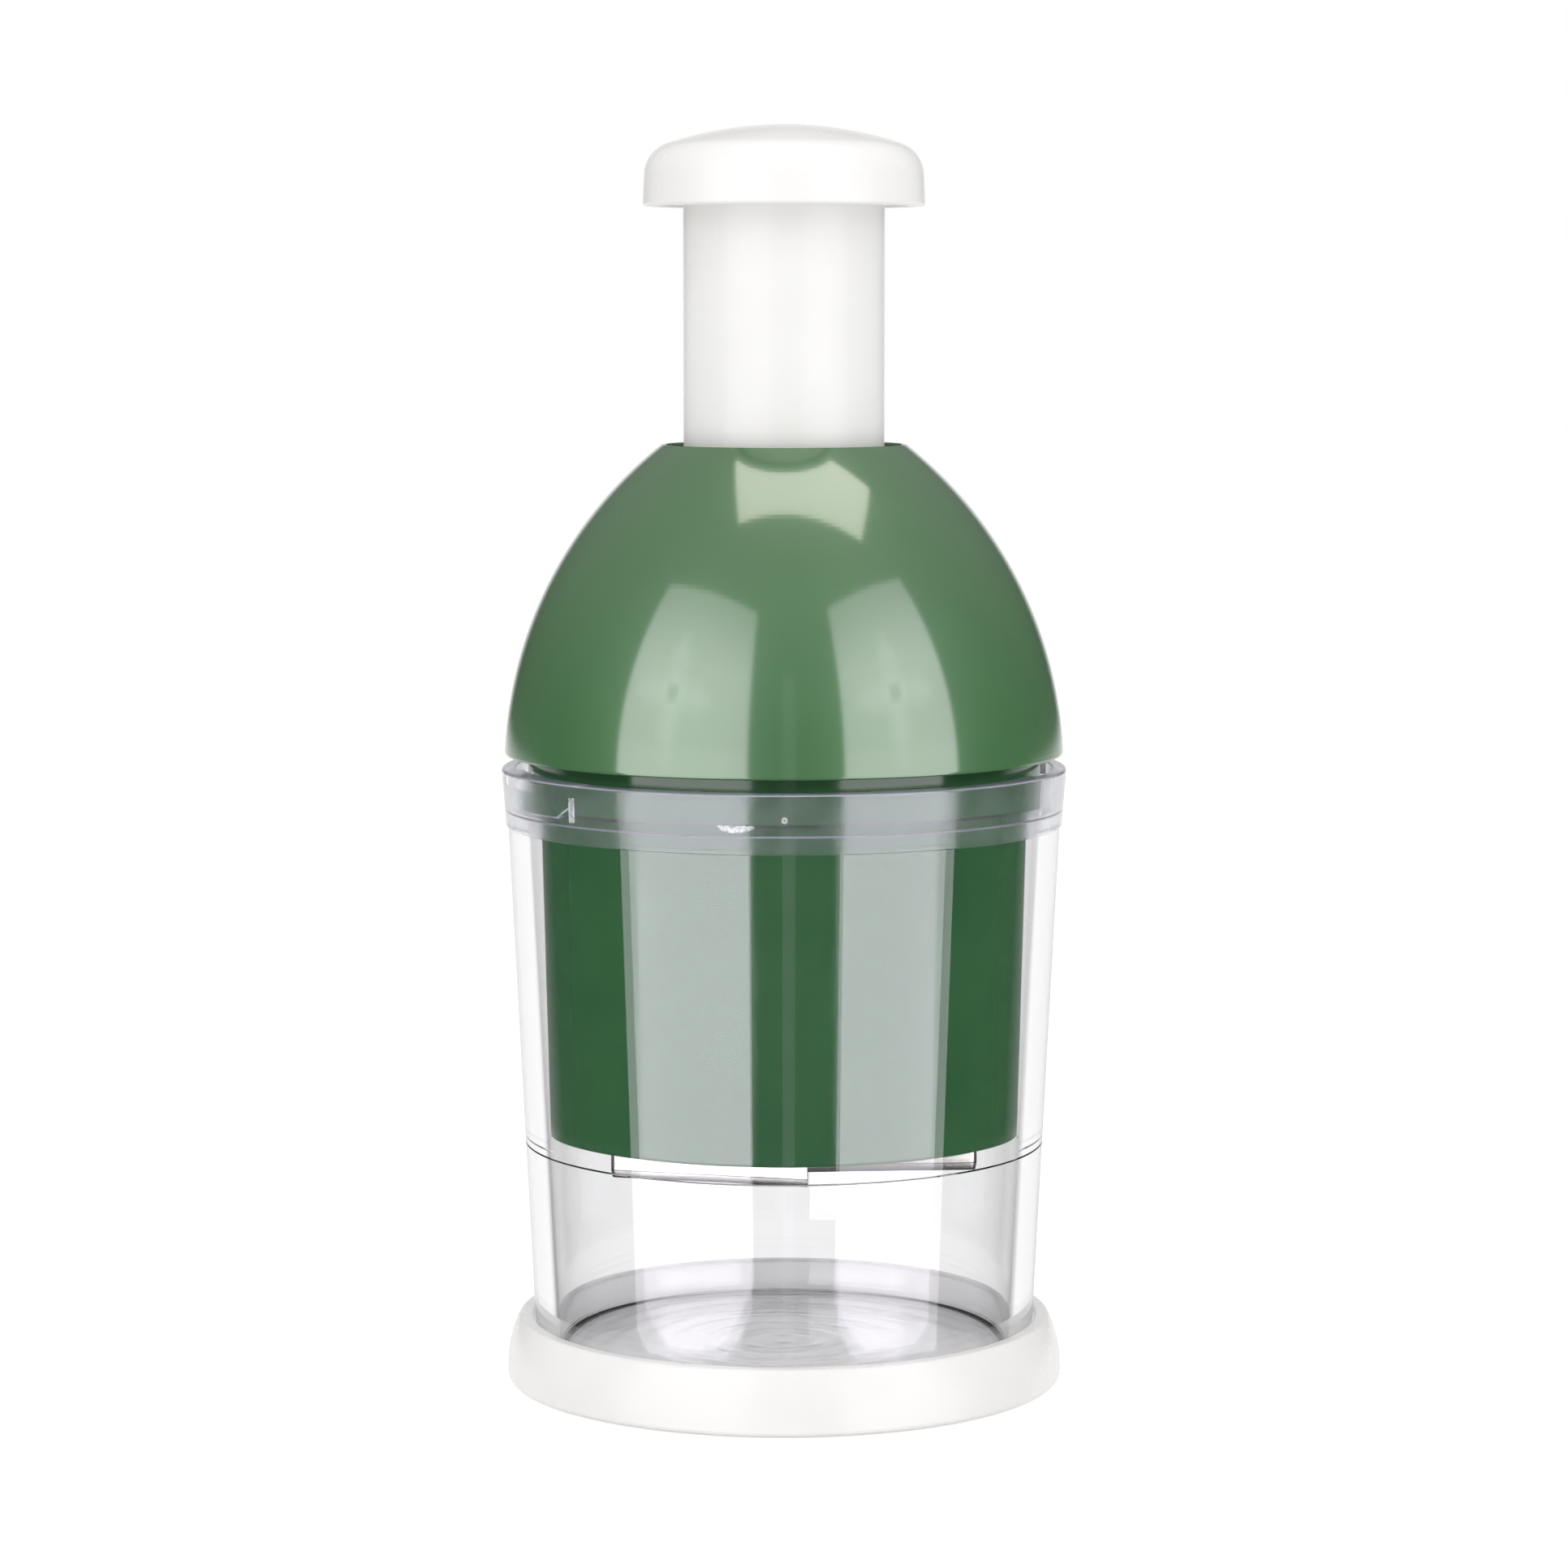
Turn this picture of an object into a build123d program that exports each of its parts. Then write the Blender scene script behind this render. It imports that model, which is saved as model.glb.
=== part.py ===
from build123d import *
from math import atan, cos, degrees, pi, radians, sin, sqrt, tan
import os

# Plunger food chopper, millimetres. The origin is the middle of the underside, +Z is up,
# and the front of the chopper looks along -Y.

# Clearances
slip = 0.1  # parts that push together and stay together
running = 0.05  # a shaft in its bearing
tube_play = 0.1  # the tube in its bush
seat_gap = 0.3  # a moving part resting over its seat
easy = 0.4  # a loose moving part beside its guide
small_round = 0.5  # edges broken by hand comfort alone

# The stroke sets the height of the chamber under the blade and of the room above it.
stroke = 33.0

# Base cap and its grip ring
base_margin = 5.2
base_flank_curve = 20.0
base_straight = 1.7
base_depth = 10.9
base_floor_thickness = 3.6
base_edge_round = 0.8
base_recess = 1.2
grip_proud = 0.3
grip_thickness = 1.8
grip_inset = 5.7
grip_width = 5.0
grip_land = 2.0
grip_edge_round = 0.15

# Clear cup
cup_neck_radius = 48.1
cup_taper = 4.6
cup_foot_wall = 3.9
cup_neck_wall = 3.5
cup_floor_thickness = 2.5
cup_floor_round = 1.5
cup_rim_round = 0.4
cup_to_base = 0.25
parting_height = 38.3
parting_depth = 0.2
collar_depth = 10.0
collar_step = 0.3
collar_flare = 0.8
collar_wall = 3.9
collar_bore_depth = 7.1

# Twist lock between the housing and the cup
lock_count = 2
lug_reach = 1.7
lug_height = 3.6
lug_sweep = 30.0
lug_front_angle = 219.7
lug_lead = 2.4
lug_hang = 0.7
lock_turn = 32.0
lock_side_play = 1.5

# Housing: dome, sleeve and the parts inside them
dome_lift = 2.3
dome_inset = 0.5
dome_curve = 71.8
dome_arc_drop = 2.9
dome_wall = 2.4
dome_crown_thickness = 3.3
dome_edge_round = 0.5
neck_wall = 2.2
sleeve_neck_gap = 2.2
sleeve_foot_gap = 0.6
sleeve_wall = 2.0
sleeve_edge_round = 0.6
flange_play = 0.7
flange_depth = 7.8
flange_wall = 2.6
spigot_height = 8.0
spigot_step = 0.5
hub_ledge_height = 0.7

# Hub plate, its screws and the index nut
hub_thickness = 3.0
hub_boss_wall = 3.7
hub_boss_depth = 6.0
hub_window_radius = 6.5
hub_window_count = 6
screw_count = 3
screw_boss_radius = 3.6
screw_boss_sink = 1.2
screw_boss_depth = 11.5
screw_shank_radius = 1.5
screw_head_radius = 3.0
screw_head_height = 2.0
screw_length = 10.0
nut_wall = 4.0
nut_lip = 2.0

# Guide bush
bush_wall = 3.0
bush_length = 11.0
bush_flange_thickness = 2.2
bush_flange_width = 1.8
guide_leg_width = 5.0
guide_leg_clear = 1.5

# Plunger
tube_wall = 2.0
tube_spare = 7.3
tube_foot_clear = 1.5
tube_socket_depth = 7.4
stop_thickness = 3.0
knob_overhang = 7.0
knob_draft = 0.25
knob_shoulder_height = 5.7
knob_shoulder_width = 4.6
knob_shoulder_curve = 5.9
knob_height = 14.0
knob_crown_rise = 3.1
knob_wall = 2.4
knob_socket_wall = 1.9
core_depth = 15.0
core_wall = 2.4
core_floor = 3.0
core_flange_thickness = 1.3
core_boss_wall = 3.5
core_boss_height = 12.0

# Return spring and its seat
spring_side_play = 3.8
spring_wire = 1.6
spring_turns = 9
seat_margin = 2.9
seat_plate_thickness = 1.2
seat_collar_height = 3.5
seat_collar_wall = 2.55
seat_collar_play = 1.0
seat_collar_lead = 0.6

# Spindle
spindle_side = 9.0
spindle_corner = 1.0
spindle_berth = 1.3
turn_per_stroke = 45.0
spindle_collar_width = 2.6
spindle_collar_height = 3.0
spindle_tenon = 6.0
spindle_tenon_corner = 0.5
spindle_lead = 0.7
spindle_overrun = 5.0
tip_washer_thickness = 1.0
tip_screw_length = 9.0

# Blade and its holder
blade_drop = 5.0
blade_floor_gap = 0.2
blade_thickness = 0.6
blade_bevel_height = 1.2
blade_bevel_depth = 0.22
blade_row_angle = 10.0
blade_margin = 1.35
blade_right_angle = 20.5
blade_left_angle = 42.7
blade_end_x = 6.8
blade_set_angle = -5.3
holder_thickness = 4.0
holder_groove_depth = 2.5
holder_boss_radius = 9.0
holder_boss_height = 6.0
holder_web = 1.7
holder_to_wiper = 1.7
holder_to_nut = 4.0

# Wiper plate and its retaining ring
wiper_thickness = 3.0
wiper_rise = 2.7
wiper_slot_play = 0.4
wiper_slot_corner = 0.3
wiper_rib_width = 1.5
wiper_rib_height = 1.6
retainer_width = 2.1
retainer_height = 1.6

# Heights of the main faces. Pressed down, the blade stops just over the cup's floor and its
# holder just over the wiper plate.
base_low = grip_proud
base_high = base_low + base_depth
cup_low = base_low + base_floor_thickness
cup_floor = cup_low + cup_floor_thickness
blade_low = cup_floor + blade_floor_gap + stroke
sleeve_low = blade_low + blade_drop
wiper_low = sleeve_low + wiper_rise
wiper_high = wiper_low + wiper_thickness
holder_low = wiper_high + holder_to_wiper + stroke
holder_high = holder_low + holder_thickness
holder_boss_high = holder_high + holder_boss_height
blade_high = holder_low + holder_groove_depth
nut_low = holder_boss_high + holder_to_nut
hub_bottom = nut_low - nut_lip
hub_low = hub_bottom + hub_boss_depth
hub_high = hub_low + hub_thickness
flange_low = hub_low - hub_ledge_height
dome_low = flange_low + flange_depth
cup_high = dome_low - dome_lift
collar_low = cup_high - collar_depth
collar_ledge = cup_high - collar_bore_depth
spigot_low = dome_low + spigot_step
spigot_high = spigot_low + spigot_height
lug_low = flange_low - lug_hang
groove_low = lug_low - seat_gap
groove_high = lug_low + lug_height + seat_gap
seat_low = hub_high
seat_high = seat_low + seat_plate_thickness

# Radii of the cup, the base and the housing
cup_foot_radius = cup_neck_radius - cup_taper
base_radius = cup_foot_radius + base_margin
cup_socket_radius = cup_foot_radius + cup_to_base + cup_taper * (
    (base_high - cup_low) / (collar_low - cup_low)
)
grip_outer_radius = base_radius - grip_inset
grip_inner_radius = grip_outer_radius - grip_width
inner_foot = cup_foot_radius - cup_foot_wall
inner_neck = cup_neck_radius - cup_neck_wall
collar_radius = cup_neck_radius + collar_step
collar_bore = collar_radius + collar_flare - collar_wall
flange_radius = collar_bore - flange_play
flange_bore = flange_radius - flange_wall
lug_radius = flange_radius + lug_reach
groove_radius = lug_radius + easy
sleeve_neck_radius = inner_neck - sleeve_neck_gap
sleeve_foot_radius = inner_foot - sleeve_foot_gap + (inner_neck - inner_foot) * (
    (sleeve_low - cup_floor) / (collar_ledge - cup_floor)
)
bore_neck = sleeve_neck_radius - sleeve_wall
bore_foot = sleeve_foot_radius - sleeve_wall
dome_bulge = collar_radius + collar_flare - dome_inset

# Radii of the spindle and the parts round it
spindle_reach = spindle_corner + (spindle_side / 2 - spindle_corner) * sqrt(2)
spindle_bore = spindle_reach + spindle_berth
spindle_shank_radius = spindle_side / 2 - slip
spindle_journal_radius = spindle_shank_radius - easy
spindle_collar_radius = spindle_journal_radius + spindle_collar_width
core_boss_radius = spindle_journal_radius + core_boss_wall
nut_radius = (spindle_side / 2 + nut_wall) / cos(pi / 6)
hub_boss_radius = nut_radius + hub_boss_wall
screw_circle = bore_neck - screw_boss_radius + screw_boss_sink
hub_window_circle = (hub_boss_radius + screw_circle - screw_boss_radius) / 2
twist_rate = turn_per_stroke / stroke

# The spring stands round the seat's collar, and the tube round the spring.
seat_collar_radius = spindle_bore + seat_collar_wall
spring_radius = seat_collar_radius + seat_collar_play + spring_wire / 2
seat_plate_radius = spring_radius + seat_margin
tube_bore = spring_radius + spring_side_play
tube_radius = tube_bore + tube_wall
bush_bore = tube_radius + tube_play
bush_outer = bush_bore + bush_wall - slip
dome_mouth_radius = bush_outer + slip
guide_leg_inner = tube_radius + easy + slip
stop_radius = dome_mouth_radius - seat_gap
knob_radius = tube_radius + knob_overhang
knob_crown_radius = knob_radius - knob_shoulder_width

# The blade and its holder pass down inside the rib that the wiper plate lies against.
holder_radius = bore_foot - wiper_rib_width - easy
blade_reach = holder_radius - blade_margin
blade_right = blade_reach * cos(radians(blade_right_angle))
blade_left = -blade_reach * cos(radians(blade_left_angle))
wiper_rim_radius = bore_foot - easy

# The dome's flank is one arc, struck from a point beyond the axis.
dome_arc_level = dome_low - dome_arc_drop
dome_arc_centre = dome_bulge - dome_curve
dome_high = dome_arc_level + sqrt(dome_curve**2 - (dome_mouth_radius - dome_arc_centre) ** 2)

# Heights of the plunger, worked out from its lowest place
tube_low = hub_high + tube_foot_clear + stroke
stop_high = tube_low + stop_thickness
bush_low = stop_high + seat_gap
neck_low = bush_low + bush_flange_thickness
knob_low = dome_high + tube_spare + stroke
knob_high = knob_low + knob_height
tube_high = knob_low + tube_socket_depth
core_low = tube_high - core_depth
core_boss_high = core_low + core_boss_height
spindle_shoulder = core_low - seat_gap
spindle_high = core_boss_high + seat_gap
spindle_low = holder_high + slip
twist_low = nut_low - spindle_lead
twist_high = hub_high + stroke + spindle_overrun


def flank_radius(height, inset=0.0):
    """Radius of the dome's flank at a height, or of a surface a wall's thickness inside it."""
    return dome_arc_centre + sqrt((dome_curve - inset) ** 2 - (height - dome_arc_level) ** 2)


def upright_plane(angle):
    """Plane through the axis: local x runs outwards at the angle and local y runs up."""
    out = Vector(cos(radians(angle)), sin(radians(angle)), 0)
    return Plane(origin=(0, 0, 0), x_dir=out, z_dir=out.cross(Vector(0, 0, 1)))


def tangent_plane(angle, radius):
    """Plane that faces outwards: local x runs round the part and local y runs up."""
    out = Vector(cos(radians(angle)), sin(radians(angle)), 0)
    return Plane(origin=out * radius, x_dir=Vector(0, 0, 1).cross(out), z_dir=out)


def turned(*outline, mode=Mode.ADD):
    """Turn a closed outline of (radius, height) corners about the axis."""
    with BuildSketch(Plane.XZ) as section:
        with BuildLine():
            Polyline(*outline, close=True)
        make_face()
    revolve(section.sketch, axis=Axis.Z, mode=mode)


def ring(outer, inner, low, high, mode=Mode.ADD):
    """A flat ring, or a disc where the inner radius is 0."""
    with BuildSketch(Plane.XY.offset(low)) as outline:
        Circle(outer)
        if inner > 0:
            Circle(inner, mode=Mode.SUBTRACT)
    extrude(outline.sketch, amount=high - low, mode=mode)


def sector(outer, inner, low, high, start, sweep, mode=Mode.ADD):
    """Part of a ring, from a start angle round through a sweep."""
    with BuildSketch(upright_plane(start)) as section:
        with Locations(((outer + inner) / 2, (high + low) / 2)):
            Rectangle(outer - inner, high - low)
    revolve(section.sketch, axis=Axis.Z, revolution_arc=sweep, mode=mode)


def prism(side, low, high, corner=0.0, mode=Mode.ADD):
    """An upright square bar."""
    with BuildSketch(Plane.XY.offset(low)) as outline:
        if corner > 0:
            RectangleRounded(side, side, corner)
        else:
            Rectangle(side, side)
    extrude(outline.sketch, amount=high - low, mode=mode)


def twisted_bar(side, low, high):
    """The spindle's square section, turned steadily with height."""
    with BuildSketch(Plane.XY.offset(low)) as outline:
        RectangleRounded(side, side, spindle_corner, rotation=twist_rate * low)
    return Solid.extrude_linear_with_rotation(
        outline.sketch.faces()[0], (0, 0, low), (0, 0, high - low), twist_rate * (high - low)
    )


def blade_face(height, width, end_play=0.0):
    """The blade's zigzag seen from above, as a strip of a given width."""
    left = blade_left - bend_overshoot
    right = blade_right + bend_overshoot
    end_x = blade_end_x + end_play
    end_y = 2 * row_pitch + (end_x - left) * tan(radians(blade_row_angle))
    with BuildSketch(Plane.XY.offset(height).rotated((0, 0, blade_set_angle))) as strip:
        with BuildLine() as path:
            FilletPolyline(
                (end_x, -end_y), (left, -2 * row_pitch), (right, -row_pitch), (left, 0),
                (right, row_pitch), (left, 2 * row_pitch), (end_x, end_y), radius=bend_radius,
            )
        trace(path.line, line_width=width)
    return strip.sketch


# The spigot pushes up into the dome's skirt, which narrows upwards.
spigot_radius = flank_radius(spigot_high, dome_wall) - slip

# The rows run to sharp corners that lie beyond the rounded bends.
bend_radius = wiper_slot_corner + wiper_slot_play + blade_thickness / 2
bend_overshoot = bend_radius / sin(radians(blade_row_angle)) - bend_radius
row_pitch = (blade_right - blade_left + 2 * bend_overshoot) * tan(radians(blade_row_angle))

os.makedirs("parts", exist_ok=True)


# Base cap: a shallow dish that the cup's foot drops into.
with BuildPart() as base_cap:
    with BuildSketch(Plane.XZ) as cap_section:
        with BuildLine():
            flank_low = base_low + base_straight
            centre = base_radius - base_flank_curve
            rim = centre + sqrt(base_flank_curve**2 - (base_high - flank_low) ** 2)
            Line((0, base_low), (base_radius, base_low))
            Line((base_radius, base_low), (base_radius, flank_low))
            RadiusArc((base_radius, flank_low), (rim, base_high), -base_flank_curve)
            Polyline((rim, base_high), (0, base_high), (0, base_low))
        make_face()
    revolve(axis=Axis.Z)
    ring(cup_socket_radius, 0, cup_low, base_high, Mode.SUBTRACT)
    rim_edges = base_cap.edges().filter_by(GeomType.CIRCLE).group_by(Axis.Z)[-1]
    fillet(rim_edges, (rim - cup_socket_radius) / 3)
    fillet(base_cap.edges().filter_by(GeomType.CIRCLE).group_by(Axis.Z)[0], base_edge_round)
    ring(grip_outer_radius + slip, grip_inner_radius - slip, 0, grip_thickness, Mode.SUBTRACT)
    ring(grip_inner_radius - grip_land, 0, 0, base_low + base_recess, Mode.SUBTRACT)
base_cap.part.label = "base_cap"
export_step(base_cap.part, "parts/base_cap.step")

# Rubber ring that the chopper stands on.
with BuildPart() as grip_ring:
    ring(grip_outer_radius, grip_inner_radius, 0, grip_thickness)
    fillet(grip_ring.faces().sort_by(Axis.Z)[0].edges(), grip_edge_round)
grip_ring.part.label = "grip_ring"
export_step(grip_ring.part, "parts/grip_ring.step")

# Clear cup: tapered wall, thick floor, and a collar with the two lock grooves.
with BuildPart() as cup:
    turned(
        (0, cup_low),
        (cup_foot_radius, cup_low),
        (cup_neck_radius, collar_low),
        (collar_radius, collar_low),
        (collar_radius + collar_flare, cup_high),
        (collar_bore, cup_high),
        (collar_bore, collar_ledge),
        (inner_neck, collar_ledge),
        (inner_foot, cup_floor),
        (0, cup_floor),
    )
    fillet(cup.edges().filter_by(GeomType.CIRCLE).group_by(Axis.Z)[-1], cup_rim_round)
    fillet(cup.edges().filter_by_position(Axis.Z, cup_floor, cup_floor), cup_floor_round)
    parting = cup_low + parting_height
    parting_radius = cup_foot_radius + cup_taper * parting_height / (collar_low - cup_low)
    turned(
        (parting_radius + parting_depth, parting - parting_depth),
        (parting_radius + parting_depth, parting + parting_depth),
        (parting_radius - parting_depth, parting),
        mode=Mode.SUBTRACT,
    )
    for turn in range(lock_count):
        stop = lug_front_angle + lock_side_play + turn * 360 / lock_count
        run = lug_sweep + lock_turn + 2 * lock_side_play
        slot = lug_sweep + 2 * lock_side_play
        sector(
            groove_radius, collar_bore - slip, groove_low, groove_high,
            stop - run, run, Mode.SUBTRACT,
        )
        sector(
            groove_radius, collar_bore - slip, groove_high - slip, cup_high + slip,
            stop - run, slot, Mode.SUBTRACT,
        )
cup.part.label = "cup"
export_step(cup.part, "parts/cup.step")

# Sleeve: the long skirt in the cup, with the flange, the lock lugs and the inner ledges.
with BuildPart() as sleeve:
    turned(
        (bore_foot, sleeve_low),
        (sleeve_foot_radius, sleeve_low),
        (sleeve_neck_radius, flange_low),
        (flange_radius, flange_low),
        (flange_radius, spigot_low),
        (spigot_radius, spigot_low),
        (spigot_radius, spigot_high),
        (flange_bore, spigot_high),
        (flange_bore, hub_low),
        (bore_neck, hub_low),
    )
    fillet(sleeve.edges().filter_by(GeomType.CIRCLE).group_by(Axis.Z)[0], sleeve_edge_round)
    rib_low = wiper_high + seat_gap
    ring(bore_foot + sleeve_wall / 2, bore_foot - wiper_rib_width, rib_low, rib_low + wiper_rib_height)
    for turn in range(lock_count):
        front = lug_front_angle + turn * 360 / lock_count
        sector(
            lug_radius, flange_bore, lug_low, lug_low + lug_height,
            front - lug_sweep, lug_sweep,
        )
        with BuildSketch(tangent_plane(front, flange_radius + slip)) as lead:
            with BuildLine():
                Polyline((-lug_lead, lug_low), (lug_lead, lug_low - lug_lead),
                         (lug_lead, lug_low + lug_lead), (0, lug_low + lug_lead), close=True)
            make_face()
        extrude(lead.sketch, amount=lug_reach, mode=Mode.SUBTRACT)
    boss_low = hub_low - screw_boss_depth
    with BuildSketch(Plane.XY.offset(boss_low)) as bosses:
        with PolarLocations(screw_circle, screw_count):
            Circle(screw_boss_radius)
    extrude(bosses.sketch, amount=screw_boss_depth)
    with BuildSketch(Plane.XY.offset(boss_low)) as pilot_holes:
        with PolarLocations(screw_circle, screw_count):
            Circle(screw_shank_radius + running)
    extrude(pilot_holes.sketch, amount=screw_boss_depth, mode=Mode.SUBTRACT)
sleeve.part.label = "sleeve"
export_step(sleeve.part, "parts/sleeve.step")

# Dome: one curved shell with a straight neck inside for the guide bush.
with BuildPart() as dome:
    cavity_high = dome_high - dome_crown_thickness
    middle = (dome_low + dome_high) / 2
    with BuildSketch(Plane.XZ) as dome_section:
        with BuildLine():
            ThreePointArc(
                (flank_radius(dome_low), dome_low),
                (flank_radius(middle), middle),
                (dome_mouth_radius, dome_high),
            )
            Polyline(
                (dome_mouth_radius, dome_high), (0, dome_high), (0, dome_low),
                (flank_radius(dome_low), dome_low),
            )
        make_face()
    revolve(axis=Axis.Z)
    with BuildSketch(Plane.XZ) as cavity_section:
        with BuildLine():
            ThreePointArc(
                (flank_radius(dome_low, dome_wall), dome_low),
                (flank_radius(middle, dome_wall), middle),
                (flank_radius(cavity_high, dome_wall), cavity_high),
            )
            Polyline(
                (flank_radius(cavity_high, dome_wall), cavity_high), (0, cavity_high), (0, dome_low),
                (flank_radius(dome_low, dome_wall), dome_low),
            )
        make_face()
    revolve(cavity_section.sketch, axis=Axis.Z, mode=Mode.SUBTRACT)
    ring(dome_mouth_radius + neck_wall, 0, neck_low, cavity_high)
    ring(dome_mouth_radius, 0, neck_low, dome_high, Mode.SUBTRACT)
    fillet(dome.edges().filter_by(GeomType.CIRCLE).group_by(Axis.Z)[0], dome_edge_round)
    fillet(dome.edges().filter_by(GeomType.CIRCLE).group_by(Axis.Z)[-1], dome_edge_round)
dome.part.label = "dome"
export_step(dome.part, "parts/dome.step")

# Guide bush: plain bearing for the tube, with two legs that keep it from turning.
with BuildPart() as guide_bush:
    bush_high = neck_low + bush_length
    leg_low = hub_high + guide_leg_clear
    ring(bush_outer, bush_bore, neck_low, bush_high)
    ring(bush_outer + bush_flange_width, bush_bore, bush_low, neck_low)
    with BuildSketch(Plane.XY.offset(leg_low)) as legs:
        Circle(bush_outer)
        Circle(guide_leg_inner, mode=Mode.SUBTRACT)
        Rectangle(guide_leg_width, 2 * dome_mouth_radius, mode=Mode.INTERSECT)
    extrude(legs.sketch, amount=bush_low - leg_low)
guide_bush.part.label = "guide_bush"
export_step(guide_bush.part, "parts/guide_bush.step")

# Hub plate: a windowed disc across the sleeve that carries the index nut.
with BuildPart() as hub_plate:
    with BuildSketch(Plane.XY.offset(hub_low)) as hub_outline:
        Circle(flange_bore - slip)
        with PolarLocations(hub_window_circle, hub_window_count, start_angle=180 / hub_window_count):
            Circle(hub_window_radius, mode=Mode.SUBTRACT)
        with PolarLocations(screw_circle, screw_count):
            Circle(screw_shank_radius + slip, mode=Mode.SUBTRACT)
    extrude(amount=hub_thickness)
    ring(hub_boss_radius, 0, hub_bottom, hub_low)
    ring(spindle_bore, 0, hub_bottom, hub_high, Mode.SUBTRACT)
    with BuildSketch(Plane.XY.offset(nut_low)) as pocket:
        RegularPolygon(nut_radius + slip, 6)
    extrude(amount=hub_high - nut_low, mode=Mode.SUBTRACT)
    chamfer(hub_plate.edges().filter_by(GeomType.CIRCLE).group_by(Axis.Z)[0], small_round)
hub_plate.part.label = "hub_plate"
export_step(hub_plate.part, "parts/hub_plate.step")

# Screws that hold the hub plate down on the sleeve's bosses.
with BuildPart() as hub_screws:
    with BuildSketch(Plane.XY.offset(hub_high)) as heads:
        with PolarLocations(screw_circle, screw_count):
            Circle(screw_head_radius)
    extrude(amount=screw_head_height)
    fillet(hub_screws.faces().group_by(Axis.Z)[-1].edges(), screw_head_height / 2)
    with BuildSketch(Plane.XY.offset(hub_high)) as shanks:
        with PolarLocations(screw_circle, screw_count):
            Circle(screw_shank_radius)
    extrude(amount=-screw_length)
hub_screws.part.label = "hub_screws"
export_step(hub_screws.part, "parts/hub_screws.step")

# Index nut: its twisted square bore turns the spindle as the plunger goes down.
with BuildPart() as index_nut:
    with BuildSketch(Plane.XY.offset(nut_low)):
        RegularPolygon(nut_radius, 6)
    extrude(amount=hub_high - nut_low)
    add(
        twisted_bar(spindle_side + 2 * slip, twist_low, hub_high + spindle_lead),
        mode=Mode.SUBTRACT,
    )
index_nut.part.label = "index_nut"
export_step(index_nut.part, "parts/index_nut.step")

# Spring seat: a plate with a collar that centres the spring and keeps the nut in.
with BuildPart() as spring_seat:
    ring(seat_plate_radius, spindle_bore, seat_low, seat_high)
    ring(seat_collar_radius, spindle_bore, seat_high, seat_high + seat_collar_height)
    collar_edges = spring_seat.edges().filter_by(GeomType.CIRCLE).group_by(Axis.Z)[-1]
    chamfer(collar_edges.sort_by(SortBy.RADIUS)[-1], seat_collar_lead)
spring_seat.part.label = "spring_seat"
export_step(spring_seat.part, "parts/spring_seat.step")

# Return spring between its seat and the plunger's core.
with BuildPart() as return_spring:
    coil_low = seat_high + spring_wire / 2
    coil_high = core_low - spring_wire / 2
    coil_height = coil_high - coil_low
    with BuildLine() as coil:
        Helix(coil_height / spring_turns, coil_height, spring_radius, center=(0, 0, coil_low))
    with BuildSketch(coil.line ^ 0) as wire:
        Circle(spring_wire / 2)
    sweep(wire.sketch, path=coil.line, is_frenet=True)
return_spring.part.label = "return_spring"
export_step(return_spring.part, "parts/return_spring.step")

# Plunger tube, with a stop ring at its foot that is notched for the guide legs.
with BuildPart() as plunger_tube:
    ring(tube_radius, tube_bore, tube_low, tube_high)
    ring(stop_radius, tube_bore, tube_low, stop_high)
    with BuildSketch(Plane.XY.offset(tube_low)) as notches:
        Circle(stop_radius + easy)
        Circle(guide_leg_inner - seat_gap, mode=Mode.SUBTRACT)
        Rectangle(guide_leg_width + 2 * easy, 2 * dome_mouth_radius + easy, mode=Mode.INTERSECT)
    extrude(notches.sketch, amount=stop_thickness, mode=Mode.SUBTRACT)
plunger_tube.part.label = "plunger_tube"
export_step(plunger_tube.part, "parts/plunger_tube.step")

# Knob cap: a crowned palm shell with a socket ring for the tube.
with BuildPart() as knob_cap:
    crown_low = knob_high - knob_crown_rise
    skirt_high = crown_low - knob_shoulder_height
    crown_curve = (knob_crown_radius**2 + knob_crown_rise**2) / (2 * knob_crown_rise)
    skirt_radius = knob_radius - knob_draft
    inner_crown = knob_crown_radius - knob_wall / 2
    with BuildSketch(Plane.XZ) as knob_section:
        with BuildLine():
            Line((knob_radius, knob_low), (skirt_radius, skirt_high))
            RadiusArc((skirt_radius, skirt_high), (knob_crown_radius, crown_low), -knob_shoulder_curve)
            RadiusArc((knob_crown_radius, crown_low), (0, knob_high), -crown_curve)
            RadiusArc((0, knob_high - knob_wall), (inner_crown, crown_low - knob_wall), crown_curve)
            Line((0, knob_high), (0, knob_high - knob_wall))
            RadiusArc(
                (inner_crown, crown_low - knob_wall), (skirt_radius - knob_wall, skirt_high),
                knob_shoulder_curve - knob_wall / 2,
            )
            Polyline(
                (skirt_radius - knob_wall, skirt_high), (knob_radius - knob_wall, knob_low),
                (knob_radius, knob_low),
            )
        make_face()
    revolve(axis=Axis.Z)
    socket_bore = tube_radius + slip
    socket_high = crown_low - knob_wall / 2
    ring(socket_bore + knob_socket_wall, socket_bore, knob_low + seat_gap, socket_high)
    fillet(knob_cap.edges().filter_by(GeomType.CIRCLE).group_by(Axis.Z)[0], small_round)
knob_cap.part.label = "knob_cap"
export_step(knob_cap.part, "parts/knob_cap.step")

# Core: the plug in the tube that takes the spring's push and carries the spindle.
with BuildPart() as knob_core:
    plug_radius = tube_bore - slip
    ring(plug_radius, plug_radius - core_wall, core_low, tube_high)
    ring(tube_radius - slip, plug_radius - core_wall, tube_high, tube_high + core_flange_thickness)
    ring(plug_radius, 0, core_low, core_low + core_floor)
    ring(core_boss_radius, 0, core_low, core_boss_high)
    ring(spindle_journal_radius + running, 0, core_low, core_boss_high, Mode.SUBTRACT)
knob_core.part.label = "knob_core"
export_step(knob_core.part, "parts/knob_core.step")

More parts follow.
